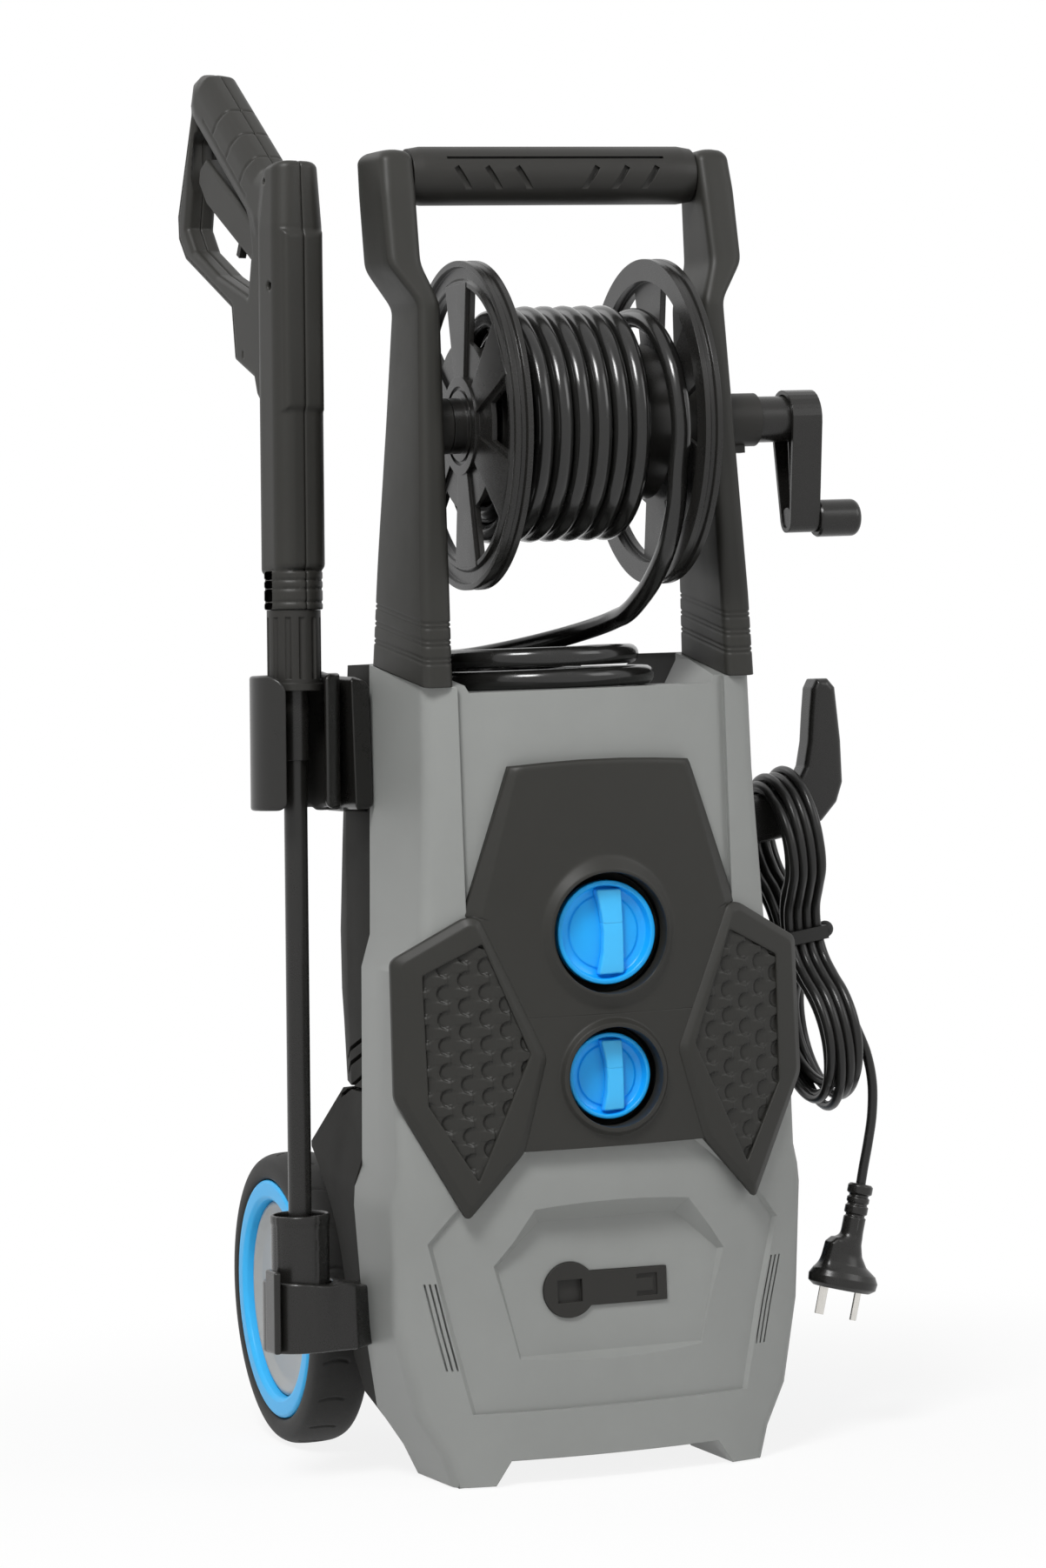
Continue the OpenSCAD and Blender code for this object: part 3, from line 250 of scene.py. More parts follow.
class Finish:
    """A material: its node tree, its Principled shader and the calls that add nodes to it."""

    def __init__(self, name, roughness, metallic=0.0, specular=0.5, coat=0.0):
        self.material = bpy.data.materials.new(name)
        self.material.use_nodes = True
        self.tree = self.material.node_tree
        self.shader = self.tree.nodes["Principled BSDF"]
        for socket, value in (("Roughness", roughness), ("Metallic", metallic),
                              ("Specular IOR Level", specular), ("Coat Weight", coat),
                              ("Coat Roughness", 0.12)):
            self.shader.inputs[socket].default_value = value

    def put(self, socket, value):
        """Links a Value, or sets a constant; one number fills a vector, and a colour gets alpha."""
        many = hasattr(value, "__len__")
        if isinstance(value, Value):
            self.tree.links.new(value.socket, socket)
        elif hasattr(socket.default_value, "__len__") and not many:
            socket.default_value = [value] * len(socket.default_value)
        elif many and len(socket.default_value) == 4 and len(value) == 3:
            socket.default_value = (*value, 1.0)
        else:
            socket.default_value = value

    def node(self, kind, settings=None, inputs=None, output=0):
        """Any node: its settings first, then its inputs, by name or number."""
        made = self.tree.nodes.new("ShaderNode" + kind)
        for key, value in (settings or {}).items():
            if key == "stops":
                self.set_stops(made.color_ramp, value)
            else:
                setattr(made, key, value)
        for key, value in (inputs or {}).items():
            self.put(made.inputs[key], value)
        return Value(self, made.outputs[output])

    def set_stops(self, ramp, stops):
        """Stops of a ramp from pairs of place and colour; a single number is a grey."""
        while len(ramp.elements) < len(stops):
            ramp.elements.new(0.5)
        for element, (place, colour) in zip(ramp.elements, stops):
            element.position = place
            element.color = (*(colour if hasattr(colour, "__len__") else (colour,) * 3), 1.0)

    def place(self):
        """Object coordinates, in metres: the pattern stays on the part wherever it stands."""
        return self.node("TexCoord", output="Object")

    def noise(self, scale, detail=2.0, roughness=0.5, where=None):
        return self.node("TexNoise", {}, {"Vector": where or self.place(), "Scale": scale,
                                          "Detail": detail, "Roughness": roughness})

    def ramp(self, value, *stops):
        return self.node("ValToRGB", {"stops": stops}, {"Fac": value})

    def mix(self, factor, first, second):
        """Colour between first and second; sockets 6 and 7 are the mix node's colours."""
        return self.node("Mix", {"data_type": "RGBA"}, {0: factor, 6: first, 7: second}, output=2)

    def bump(self, height, distance, strength=1.0, normal=None):
        inputs = {"Height": height, "Distance": distance, "Strength": strength}
        if normal:
            inputs["Normal"] = normal
        return self.node("Bump", {}, inputs)

    def soft_edges(self, radius=0.9 * MM):
        """Normal that rounds the light on sharp edges, as a moulding's small radii do."""
        return self.node("Bevel", {"samples": 4}, {"Radius": radius})

    def set(self, **values):
        """Links values to the shader's sockets: base_color goes to Base Color, and so on."""
        for key, value in values.items():
            self.put(self.shader.inputs[key.replace("_", " ").title()], value)
        return self.material


def scaled(colour, factor):
    """Colour made paler or deeper, held below 1."""
    return tuple(min(1.0, c * factor) for c in colour)


# %% [markdown]
# ## Moulded plastic
# Housings like these come out of spark-eroded moulds, which leave an even, fine grain: bumps about
# half a millimetre across and a few hundredths high. Over that lie faint flow marks, centimetres
# long, and a slow change in gloss. Three noises of three sizes give the three effects. The blacks
# differ in gloss and depth from part to part, so that neighbours stand out from each other.

# %% Plastics
def moulded(name, colour, roughness, grain=0.5, vary=0.06, specular=0.5, coat=0.0, edges=True):
    """Grained plastic: colour and roughness drift slowly, and a fine noise gives the grain."""
    f = Finish(name, roughness, specular=specular, coat=coat)
    drift = f.noise(7.0, 3.0)
    flow = f.noise(45.0, 4.0, 0.6)
    grains = f.noise(1500.0, 2.0, 0.6)
    tint = f.ramp(drift * 0.7 + flow * 0.3, (0.3, scaled(colour, 1 - vary)),
                  (0.7, scaled(colour, 1 + vary)))
    gloss = (drift - 0.5) * 0.12 + (flow - 0.5) * 0.10 + (grains - 0.5) * 0.10 + roughness
    surface = f.bump(grains, 0.05 * MM * grain, 1.0, f.soft_edges() if edges else None)
    return f.set(base_color=tint, roughness=gloss, normal=surface)


grey_plastic = moulded("grey_plastic", (0.245, 0.252, 0.243), 0.46)
hub_grey = moulded("hub_grey", (0.36, 0.37, 0.37), 0.38, grain=0.3)
black_plastic = moulded("black_plastic", (0.021, 0.0202, 0.0182), 0.44, specular=0.26)
panel_black = moulded("panel_black", (0.0245, 0.024, 0.0212), 0.46, grain=0.9, specular=0.26)
relief_black = moulded("relief_black", (0.0225, 0.022, 0.0195), 0.42, grain=0.3, specular=0.26)
gun_black = moulded("gun_black", (0.0235, 0.0228, 0.0202), 0.42, grain=0.9, specular=0.27)
matt_black = moulded("matt_black", (0.0175, 0.017, 0.0155), 0.62, specular=0.08)
glossy_black = moulded("glossy_black", (0.013, 0.0125, 0.0115), 0.28, grain=0.2, specular=0.38)
inner_black = moulded("inner_black", (0.016, 0.016, 0.015), 0.62, grain=0.8, specular=0.3,
                      edges=False)
blue_plastic = moulded("blue_plastic", (0.008, 0.40, 0.93), 0.32, grain=0.15, vary=0.03,
                       specular=0.3, coat=0.12)
blue_bright = moulded("blue_bright", (0.045, 0.50, 0.97), 0.24, grain=0.1, vary=0.02,
                      specular=0.35, coat=0.25)
rim_blue = moulded("rim_blue", (0.050, 0.50, 0.97), 0.36, grain=0.15, vary=0.02, specular=0.2)
soft_rubber = moulded("soft_rubber", (0.014, 0.0138, 0.013), 0.56, grain=0.8, specular=0.32)
print("plastics", len(bpy.data.materials))

# %% [markdown]
# ## Rubber, metal and brass
# The hose has a smooth extruded jacket: long shallow waves along it and small scuffs. The tyre is
# duller and dusty in patches. Metals are mirrors dulled by fine lines or cast grain.

# %% Rubbers and metals
def jacket(name, colour, roughness, coat, scuffs):
    """Extruded rubber: low waves in the gloss, and scuffs that dull it here and there."""
    f = Finish(name, roughness, specular=0.34, coat=coat)
    waves = f.noise(28.0, 2.0)
    marks = f.ramp(f.noise(160.0, 6.0, 0.7), (0.55, 0.0), (0.75, 1.0))
    tint = f.mix(marks * scuffs, colour, scaled(colour, 2.2))
    gloss = (waves - 0.5) * 0.16 + marks * (scuffs * 0.5) + roughness
    surface = f.bump(f.noise(60.0, 3.0), 0.15 * MM, 0.6)
    return f.set(base_color=tint, roughness=gloss, normal=surface)


def tread_rubber():
    """Matte rubber with dust: paler where a coarse noise is high, grained all over."""
    f = Finish("tyre_rubber", 0.68, specular=0.35)
    dust = f.ramp(f.noise(22.0, 5.0, 0.65), (0.45, 0.0), (0.8, 1.0))
    grain = f.noise(900.0, 3.0)
    tint = f.mix(dust * 0.3, (0.016, 0.0156, 0.0148), (0.045, 0.0435, 0.040))
    return f.set(base_color=tint, roughness=(grain - 0.5) * 0.2 + 0.66,
                 normal=f.bump(grain, 0.08 * MM, 0.8, f.soft_edges(1.5 * MM)))


def metal(name, colour, roughness, lines):
    """Turned or cast metal: a noise stretched along one axis gives tool lines."""
    f = Finish(name, roughness, metallic=1.0)
    stretched = f.node("Mapping", {}, {"Vector": f.place(), "Scale": (lines, 1.0, 1.0)})
    marks = f.noise(160.0, 3.0, 0.6, stretched)
    tint = f.ramp(marks, (0.3, scaled(colour, 0.85)), (0.7, colour))
    return f.set(base_color=tint, roughness=(marks - 0.5) * 0.25 + roughness,
                 normal=f.bump(marks, 0.03 * MM, 0.5, f.soft_edges(0.4 * MM)))


FINISHES = {
    "grey_plastic": grey_plastic, "black_plastic": black_plastic, "blue_plastic": blue_plastic,
    "hub_grey": hub_grey, "soft_rubber": soft_rubber, "tyre": tread_rubber(),
    "hose_rubber": jacket("hose_rubber", (0.011, 0.0108, 0.0102), 0.22, 0.25, 0.25),
    "cable_rubber": jacket("cable_rubber", (0.010, 0.0098, 0.0094), 0.34, 0.06, 0.3),
    "steel": metal("steel", (0.62, 0.62, 0.63), 0.28, 14.0),
    "brass": metal("brass", (0.72, 0.52, 0.24), 0.32, 10.0),
    "pin_metal": metal("pin_metal", (0.74, 0.72, 0.68), 0.22, 6.0),
    "cast_metal": metal("cast_metal", (0.50, 0.51, 0.52), 0.5, 1.0),
}
print("slots", list(FINISHES))

# %% [markdown]
# ## Finishes onto the parts
# The record names a material slot for each node, and the table above turns slots into finishes.
# Parts inside the vents are duller, and the reel, its crank and the lance are glossier.

# %% Dress the CAD nodes
def dress(piece, finish):
    """Gives the whole piece one material."""
    piece.data.materials.clear()
    piece.data.materials.append(finish)


for part in frame["record"]["subparts"]:
    dress(frame["nodes"][part["node"]], FINISHES[part["material_slot"]])
DULLER = ("motor_fan", "power_switch", "stop_switch")
GLOSSIER = ("lance_tube", "nozzle", "flange_left", "flange_right", "crank_arm", "crank_grip",
            "reel_drum")
for names, finish in ((DULLER, inner_black), (GLOSSIER, glossy_black)):
    for name in names:
        dress(frame["nodes"][name], finish)
print(len(frame["nodes"]), "nodes dressed")

# %% [markdown]
# ## The high-pressure hose
# About 7 m of 14 mm hose belongs to the machine. Most of it is wound on the drum in two layers:
# each turn lies flat in its own lane, and those of the outer layer step to the next lane at the
# back. Then it comes off the reel over the top, drops into the trough of the deck and lies there in
# two loose turns.

# %% Wind the hose on the drum
REEL_Y, REEL_Z = -105.5, 721.5
HOSE_D = 13.6
LANE = 14.0
LANES = 7
FIRST_LANE_X = -54.0
LAYER_RADII = (60.4, 74.0)
UNWOUND = 0.555  # part of the last turn that has left the drum


def ease(x, start, end):
    """Smooth step from 0 to 1 between start and end: 3t^2 - 2t^3."""
    t = np.clip((x - start) / (end - start), 0, 1)
    return t * t * (3 - 2 * t)


def winding_line():
    """Turns on the drum: lane and radius as smooth steps of the number of turns made. The first
    layer runs from right to left, climbs at the left flange, and the second runs back."""
    turns = np.linspace(0, 2 * LANES - UNWOUND, 2 * LANES * 90)
    whole = np.floor(turns)
    part = turns - whole
    lane_down = LANES - 1 - whole - ease(part, 0.80, 0.95)
    lane_up = whole - LANES + ease(part, 0.40, 0.55)
    lane = np.where(turns < LANES - 1, lane_down, np.where(turns < LANES, 0, lane_up))
    first, second = LAYER_RADII
    radius = first + (second - first) * ease(turns, LANES - 0.4, LANES - 0.2)
    a = np.radians(-9) - 2 * np.pi * turns
    x = FIRST_LANE_X + LANE * np.minimum(lane, LANES - 1)
    return np.stack([x, REEL_Y - radius * np.cos(a), REEL_Z + radius * np.sin(a)], -1) * MM


wound = even_steps(winding_line(), 5 * MM)
hose_wound = tube("hose_wound", wound, HOSE_D / 2 * MM, "reel", "hose_rubber", ["hose_winding"],
                  sides=14)
print("wound hose", round(path_length(wound), 2), "m")

# %% Lay the loose end of the hose
def peeling_turn():
    """Last turn, from 62 mm off the axis at the back. On its way over the top to the front it
    leaves the winding by 15 mm outwards and 10 mm to the right."""
    degrees = np.arange(200, 10, -20)
    a, gone = np.radians(degrees), (200 - degrees) / 200
    r = 62 + 17 * gone
    return np.stack([46 + 11 * gone, REEL_Y - r * np.cos(a), REEL_Z + r * np.sin(a)], -1)


def loose_turns():
    """Two laps lying on each other: the hose comes down in the first quarter, lies on the lower lap
    for a whole turn, and steps down and outwards where the lower lap has already left."""
    a = np.linspace(math.radians(6), math.radians(770), 92)
    s = ease(a, math.radians(385), math.radians(525))
    x = -16 + 7.5 * s + (66 + 5.5 * s) * np.cos(a)
    y = -77 + 5.5 * s + (66 + 5.5 * s) * np.sin(a)
    z = 562.3 - 15 * s + 34 * (1 - ease(a, math.radians(-60), math.radians(130)))
    return np.stack([x, y, z], -1)


DROP = [(57, -184, 715), (55, -181, 687), (54, -176, 660), (53, -160, 634), (52, -134, 612),
        (51, -108, 598), (50, -88, 590)]
HOSE_END = [(20, -3.5, 548), (0, 9.5, 549), (-20, 18.5, 550), (-38, 23.2, 551), (-48, 24, 551)]
loose = smooth_path(np.vstack([peeling_turn(), DROP, loose_turns(), HOSE_END]) * MM, 6 * MM)
hose_loose = tube("hose_loose", loose, HOSE_D / 2 * MM, "base", "hose_rubber",
                  ["hose_tail", "hose_coil"])
print("loose hose", round(path_length(loose), 2), "m")

# %% [markdown]
# ## The mains cable
# Five metres of 7 mm cable hang on the hook as a hank. It leaves the body through a gland, runs
# eight times round one long loop that a tie gathers at the waist, and ends in the plug. The loops
# differ a little in size, as they do when a cable is wound by hand.

# %% Hang the cable
CABLE_D = 7.0
LOOPS = 8
HANK_LEAN = math.radians(8)
HANK_FOOT = (199, 280)  # x and z
TOP_LOBE = (-44, 425, 41)  # y, z and radius
LOW_LOBE = (-50, 286, 45.5)
WAIST = (-47, 357, 8)  # y, z and half width


def on_hank(x, y, z):
    """Leans a point outwards about the foot of the hank, as it hangs from its hook."""
    c, s = math.cos(HANK_LEAN), math.sin(HANK_LEAN)
    up = z - HANK_FOOT[1]
    return np.stack([HANK_FOOT[0] + x * c - up * s, y, HANK_FOOT[1] + x * s + up * c], -1)


def waist_arc(lobe, radius, w):
    """Radius r of the arc that touches the lobe's circle and passes the waist at its half width w:
    (w + r)^2 + h^2 = (radius + r)^2, where h is the height between the two centres."""
    h = abs(lobe[1] - WAIST[1])
    return (h * h + w * w - radius**2) / (2 * (radius - w))


def one_loop(count, grow):
    """Outline of one lap, wider by grow all round: two circles joined by arcs that curve the other
    way through the waist. The half width at each height comes from these circles."""
    t = np.linspace(0, 2 * np.pi, 4 * count, endpoint=False)
    top, low = TOP_LOBE[1] + TOP_LOBE[2] + grow, LOW_LOBE[1] - LOW_LOBE[2] - grow
    z = (top + low) / 2 + (top - low) / 2 * np.cos(t)
    half = np.zeros_like(z)
    for lobe, side in ((TOP_LOBE, 1), (LOW_LOBE, -1)):
        radius, waist = lobe[2] + grow, WAIST[2] + grow
        r = waist_arc(lobe, radius, waist)
        touch = WAIST[1] + (lobe[1] - WAIST[1]) * r / (r + radius)
        on_lobe = side * (z - touch) >= 0
        on_arc = (side * (z - WAIST[1]) >= 0) & ~on_lobe
        half[on_lobe] = np.sqrt(np.maximum(radius**2 - (z[on_lobe] - lobe[1]) ** 2, 0))
        half[on_arc] = waist + r - np.sqrt(r * r - (z[on_arc] - WAIST[1]) ** 2)
    centres = np.array([LOW_LOBE, WAIST, TOP_LOBE])
    middle = np.interp(z, centres[:, 1], centres[:, 0])
    return even_loop(np.stack([middle - half * np.sign(np.sin(t)), z], -1), count)


def hank_points(start, laps):
    """The outline run through again and again, from the part of a lap given as start. Each lap has
    its own lane, four side by side in two rings, and slides to the next in the low lobe. Its ends
    reach a little further or less far than the next lap's."""
    count = 34
    inner, outer = one_loop(count, -3.4), one_loop(count, 3.4)
    i = np.arange(int(round(start * count)), int(round(laps * count)) + 1)
    lap = i / count
    k = np.floor(lap) + ease(lap % 1, 0.40, 0.64)
    w = np.interp(k, [3, 4], [0, 1])[:, None]
    p = inner[i % count] * (1 - w) + outer[i % count] * w
    lane = np.interp(k, range(9), [10.5, 3.5, -3.5, -10.5, -10.5, -3.5, 3.5, 10.5, 10.5])
    far = p[:, 1] - WAIST[1]
    p[:, 1] += 5.0 * np.sin(2.4 * k + 1.0) * ease(abs(far), 35, 115) * np.sign(far)
    return on_hank(lane, p[:, 0], p[:, 1])


GLAND = (158, 22, 400)
FROM_GLAND = [(152, 22, 400), GLAND, (169.9, 20.8, 402.1), (179.9, 17.5, 407.9),
              (186.6, 12.4, 416.7), (189, 5, 428), (188.3, -5, 440)]
TO_PLUG = [(205, -72, 325), (210.5, -77, 307), (217, -80, 289), (223.5, -81, 271),
           (227.5, -80, 250), (226.5, -80, 228), (222.7, -80, 208), (218.6, -80, 190.8),
           (214.8, -80, 173.2), (212.6, -80, 163)]
cable = smooth_path(np.vstack([FROM_GLAND, hank_points(-0.06, LOOPS + 0.26), TO_PLUG]) * MM,
                    3.2 * MM)
mains_cable = tube("mains_cable", cable, CABLE_D / 2 * MM, "base", "cable_rubber",
                   ["power_cord", "cord_hank"], sides=12)
print("mains cable", round(path_length(cable), 2), "m")

# %% [markdown]
# ## Outlines, rings and rounded edges
# The moulded parts of the front are plates: an outline, a few more outlines inside it at other
# heights, and small radii in between. Corners and edges are rounded by one rule, a parabola, that
# works on the outline and across the rings alike, because both are just rows of points.

# %% Shape helpers
FACE_R = 450.0
FACE_HALF = 100.0
FACE_FRONT = -158.0


def face_y(x):
    """Bowed front seen from above, in mm: an arc of radius 450 up to x = 100, then a straight
    wing that falls back by 0.35 for each millimetre."""
    a = np.minimum(np.abs(x), FACE_HALF)
    return FACE_FRONT + FACE_R - np.sqrt(FACE_R**2 - a**2) + 0.35 * (np.abs(x) - a)


def round_off(p, radius, steps=5, closed=False):
    """Path whose corners p become parabolas (1-t)^2 a + 2t(1-t) p + t^2 b, with a and b on the two
    edges at the radius from p. The path runs along the first axis; others are carried along."""
    p = np.asarray(p, float)

    def reach(to):
        far = np.linalg.norm(to, axis=-1, keepdims=True)
        return to / np.maximum(far, 1e-9) * np.minimum(radius, 0.45 * far)
    a, b = p + reach(np.roll(p, 1, 0) - p), p + reach(np.roll(p, -1, 0) - p)
    t = np.linspace(0, 1, steps).reshape((-1,) + (1,) * p.ndim)
    q = np.moveaxis((1 - t) ** 2 * a + 2 * t * (1 - t) * p + t**2 * b, 0, 1)
    if closed:
        return q.reshape((-1,) + p.shape[1:])
    return np.concatenate([p[:1], q[1:-1].reshape((-1,) + p.shape[1:]), p[-1:]])


def outline(corners, radius, steps=6, fill=9):
    """Closed outline with rounded corners and fill extra points along each edge, so that it can
    follow a bowed face. Outlines with the same number of corners have the same number of points."""
    q = round_off(corners, radius, steps, closed=True).reshape(len(corners), steps, 2)
    t = np.linspace(0, 1, fill + 2)[1:-1, None]
    edge = q[:, -1:] * (1 - t) + np.roll(q[:, :1], -1, 0) * t
    return np.concatenate([q, edge], 1).reshape(-1, 2)


def inset(corners, d):
    """Corners moved inwards by d along the mitre of their two edges; the outline runs
    anticlockwise."""
    p = np.asarray(corners, float)
    edge = np.roll(p, -1, 0) - p
    normal = np.stack([-edge[:, 1], edge[:, 0]], -1) / np.linalg.norm(edge, axis=1, keepdims=True)
    last = np.roll(normal, 1, 0)
    return p + d * (normal + last) / (1 + np.sum(normal * last, -1, keepdims=True))


def both_sides(corners):
    """Outline of a shape that is the same on the left, from its corners on the right."""
    return [*corners, *((-x, z) for x, z in reversed(corners))]


def at_depth(flat, y):
    """Puts an outline in x and z at a depth, in mm."""
    return np.stack([flat[:, 0], y + 0 * flat[:, 0], flat[:, 1]], -1)


def on_face(flat, height):
    """Puts an outline in x and z on the bowed front, height in front of it, in mm."""
    return at_depth(flat, face_y(flat[:, 0]) - height)


def loft(name, rings, body, slot, stands_for=(), finish=None, hollow=False):
    """Skin over rings of equal length, in mm. Its ends are closed by fans round their middles, or,
    where it is hollow, its last ring is joined to its first. Normals are then turned outwards."""
    rows, columns = rings.shape[:2]
    points = rings.reshape(-1, 3)
    faces = grid_faces(rows, columns, close_rows=hollow, close_columns=True).tolist()
    if not hollow:
        points = np.vstack([points, rings[0].mean(0), rings[-1].mean(0)])
        k, last = len(points) - 2, (rows - 1) * columns
        faces += [[k, i, (i + 1) % columns] for i in range(columns)]
        faces += [[k + 1, last + (i + 1) % columns, last + i] for i in range(columns)]
    piece = make_piece(name, points * MM, faces, body, slot, stands_for, finish)
    mesh = bmesh.new()
    mesh.from_mesh(piece.data)
    bmesh.ops.recalc_face_normals(mesh, faces=mesh.faces)
    mesh.to_mesh(piece.data)
    mesh.free()
    return piece


# %% [markdown]
# ## The control panel
# The middle plate is moulded in one with two collars that the knobs are sunk in. It is made as two
# halves, one round each knob. In a half, every point lies on a ray from the knob's axis, a share
# of the way from the hole to the edge, so the hole, the collar and the outline are all followed by
# whole rows of points. The height in front of the bowed face is then one formula of x and z.

# %% Make the middle plate
UPPER_Z, UPPER_HOLE, UPPER_FLOOR = 374.0, 41.0, -147.0
LOWER_Z, LOWER_HOLE, LOWER_FLOOR = 276.0, 34.0, -143.5
PLATE = 5.0
UPPER_PLATE = both_sides([(65, 319), (92.5, 388), (99, 390), (65, 489.4), (40, 491), (15, 492)])
LOWER_PLATE = both_sides([(65, 319), (50.5, 292), (66, 229)])


def panel_height(x, z):
    """Height in mm: the plate, less a bevel along its slanted and top edges, or a collar where that
    is higher. A collar is a cone with a flat crest; a soft maximum blends it into the plate."""
    t = np.clip((z - 390) / 99, 0, 1)
    inner, outer = 88.4 - 27.9 * t, 99 - 34 * t
    side = np.clip((np.abs(x) - inner) / (outer - inner), 0, 1) * (z > 386)
    top = np.clip((z - 486 - 3 * (1 - (x / 65) ** 2)) / 3, 0, 1)
    plate = PLATE - (6 - 3 * t) * side - 1.6 * top**2
    front = FACE_FRONT - face_y(x)
    upper = np.minimum(10.4, (60.8 - np.hypot(x, z - UPPER_Z)) / 1.69) + front
    lower = np.minimum(9.6, (43.0 - np.hypot(x, z - LOWER_Z)) / 0.62) + front + 0.6
    for collar in (upper, lower):
        plate = 0.5 * (plate + collar + np.sqrt((plate - collar) ** 2 + 0.5))
    return plate


def reach_to_edge(corners, centre, angle):
    """Distance from the centre to an outline in each direction: the nearest crossing of the ray
    with any edge, from the cross products of ray, edge and the way to the edge's start."""
    p = np.asarray(corners, float) - centre
    e = np.roll(p, -1, 0) - p
    d = np.stack([np.cos(angle), np.sin(angle)], -1)[:, None]
    cross = d[..., 0] * e[:, 1] - d[..., 1] * e[:, 0]
    cross = np.where(abs(cross) < 1e-9, 1e-9, cross)
    far = (p[:, 0] * e[:, 1] - p[:, 1] * e[:, 0]) / cross
    at = (p[:, 0] * d[..., 1] - p[:, 1] * d[..., 0]) / cross
    ok = (far > 0) & (at >= -1e-9) & (at <= 1 + 1e-9)
    return np.where(ok, far, 1e9).min(1)


def plate_half(name, corners, middle_z, hole, floor_y):
    """Closed half plate: out from the hole over the front, round the edge, back behind, and into
    the well down to its floor. Rays go in even steps and through every corner."""
    centre = (0, middle_z)
    to_corner = np.asarray(corners) - centre
    angle = np.arctan2(to_corner[:, 1], to_corner[:, 0]) % (2 * np.pi)
    angle = np.sort(np.concatenate([np.linspace(0, 2 * np.pi, 260, endpoint=False), angle]))
    ray = np.stack([np.cos(angle), np.sin(angle)], -1)
    start = hole + 0.4
    way = reach_to_edge(corners, centre, angle) - start
    flat = [centre + ray * (start + s * way)[:, None] for s in np.linspace(0, 1, 76) ** 1.25]
    front = [on_face(f, panel_height(*f.T)) for f in flat]
    crest = front[0][:, 1].mean()
    wall, foot = hole + 0.1, floor_y + 0.3
    well = [(wall, FACE_FRONT + 6), (wall, foot), (20, foot), (20, floor_y), (hole, floor_y),
            (hole, floor_y - 1), (hole, crest + 0.9), (hole + 0.12, crest + 0.25)]
    rings = [at_depth(centre + ray * r, y) for r, y in well] + front
    rings += [on_face(f, -4.6) for f in (flat[-1], flat[6])]
    return loft(name, np.stack(rings), "base", "black_plastic", ["control_panel"], panel_black,
                hollow=True)


halves = [plate_half("panel_upper", UPPER_PLATE, UPPER_Z, UPPER_HOLE, UPPER_FLOOR),
          plate_half("panel_lower", LOWER_PLATE, LOWER_Z, LOWER_HOLE, LOWER_FLOOR)]
print("middle plate", [len(p.data.polygons) for p in halves])

# %% [markdown]
# ## The wings and their relief
# Each wing is a raised frame: a wall, a slope, a flat band and a short wall down into the pocket.
# Five outlines with the same corners make it. The pocket's floor has a relief of interlocking
# tongues in staggered columns. A tongue is a round head with a neck. Its head dips under the floor
# along a deep crescent, and its neck climbs out of it and ends in a step, so each one seems to slip
# under its neighbours. As a height over a plan this needs only two distances, to the circle and to
# the bar, and the remainder of a division.

# %% Make the wings
WING = [(105, 184), (149, 268), (148, 362), (99, 389.6), (90, 388), (47.5, 292), (65, 229)]
POCKET = [(98, 211), (128, 263), (129, 351), (93, 369.5), (90, 371), (60, 295), (76, 259.6)]
POCKET_FLOOR = 2.3
RELIEF_BASE = 6.6
COLUMN, ROW = 13.5, 17.6  # steps from column to column and from head to head
HEAD_R, DIP, RISE = 5.9, 2.0, 1.3
SIDES = ((1, "right"), (-1, "left"))


def wing_rings():
    """Rings from the back of the frame over its front and down into the pocket."""
    edge, pocket = outline(WING, 4.5), outline(POCKET, 1.5)
    middle = np.mean(edge, 0) + 0.6 * (edge - np.mean(edge, 0))
    rings = [(middle, 0.4), (edge, 0.4), (edge, 5.2), (outline(inset(WING, 5.2), 4.0), 8.4),
             (outline(inset(POCKET, -1.2), 2.0), 9.0), (pocket, 8.5), (pocket, POCKET_FLOOR),
             (middle, POCKET_FLOOR)]
    return round_off(np.stack([on_face(*ring) for ring in rings]), 1.1)


def tongues(x, z):
    """Relief height. In each staggered column, u and v are the place relative to the nearest head.
    The head dips at its left, the neck rises towards its right end, and a crescent as deep as
    that rise follows the left half of the head's outline."""
    height = 0 * x
    for column in (0, 1):
        u = np.mod(x - 62 - COLUMN * column + 7.5, 2 * COLUMN) - 7.5
        v = np.mod(z - 215 - ROW / 2 * column, ROW) - ROW / 2
        head = np.hypot(u, v) - HEAD_R
        neck = np.maximum(np.abs(v) - 3.3 - 0.09 * np.maximum(u - 4, 0), u - 14.2)
        height -= DIP * np.clip(0.5 - head / 0.6, 0, 1) * np.clip((4.5 - u) / 10.5, 0, 1)
        height += RISE * np.clip(0.5 - neck / 0.6, 0, 1) * np.clip((u - 3) / 12, 0, 1)
        height -= RISE * np.clip(1 - np.abs(head) / 0.9, 0, 1) * np.clip(0.8 - u / 3, 0, 1)
    return height


def relief(name, side, step=0.62):
    """Height field of the tongues over a grid that reaches a little under the frame. A face is kept
    where its middle is to the left of every edge of the pocket; a modifier makes it a sheet."""
    xs, zs = np.arange(57, 133, step), np.arange(207, 375, step)
    x, z = np.meshgrid(xs, zs, indexing="xy")
    y = face_y(x) - RELIEF_BASE - tongues(side * x, z)
    points = np.stack([side * x, y, z], -1).reshape(-1, 3)
    faces = grid_faces(len(zs), len(xs))
    middle = np.stack([x, z], -1).reshape(-1, 2)[faces].mean(1)
    corner = np.asarray(inset(POCKET, -2.0))
    run = np.roll(corner, -1, 0) - corner
    away = middle[:, None] - corner
    faces = faces[(run[:, 0] * away[..., 1] - run[:, 1] * away[..., 0] > 0).all(1)]
    used, faces = np.unique(faces, return_inverse=True)
    faces = faces.reshape(-1, 4)[:, ::side]
    piece = make_piece(name, points[used] * MM, faces, "base", "black_plastic", ["grille_plates"],
                       relief_black)
    wall = piece.modifiers.new("wall", "SOLIDIFY")
    wall.thickness = 0.8 * MM
    wall.offset = -1
    return piece


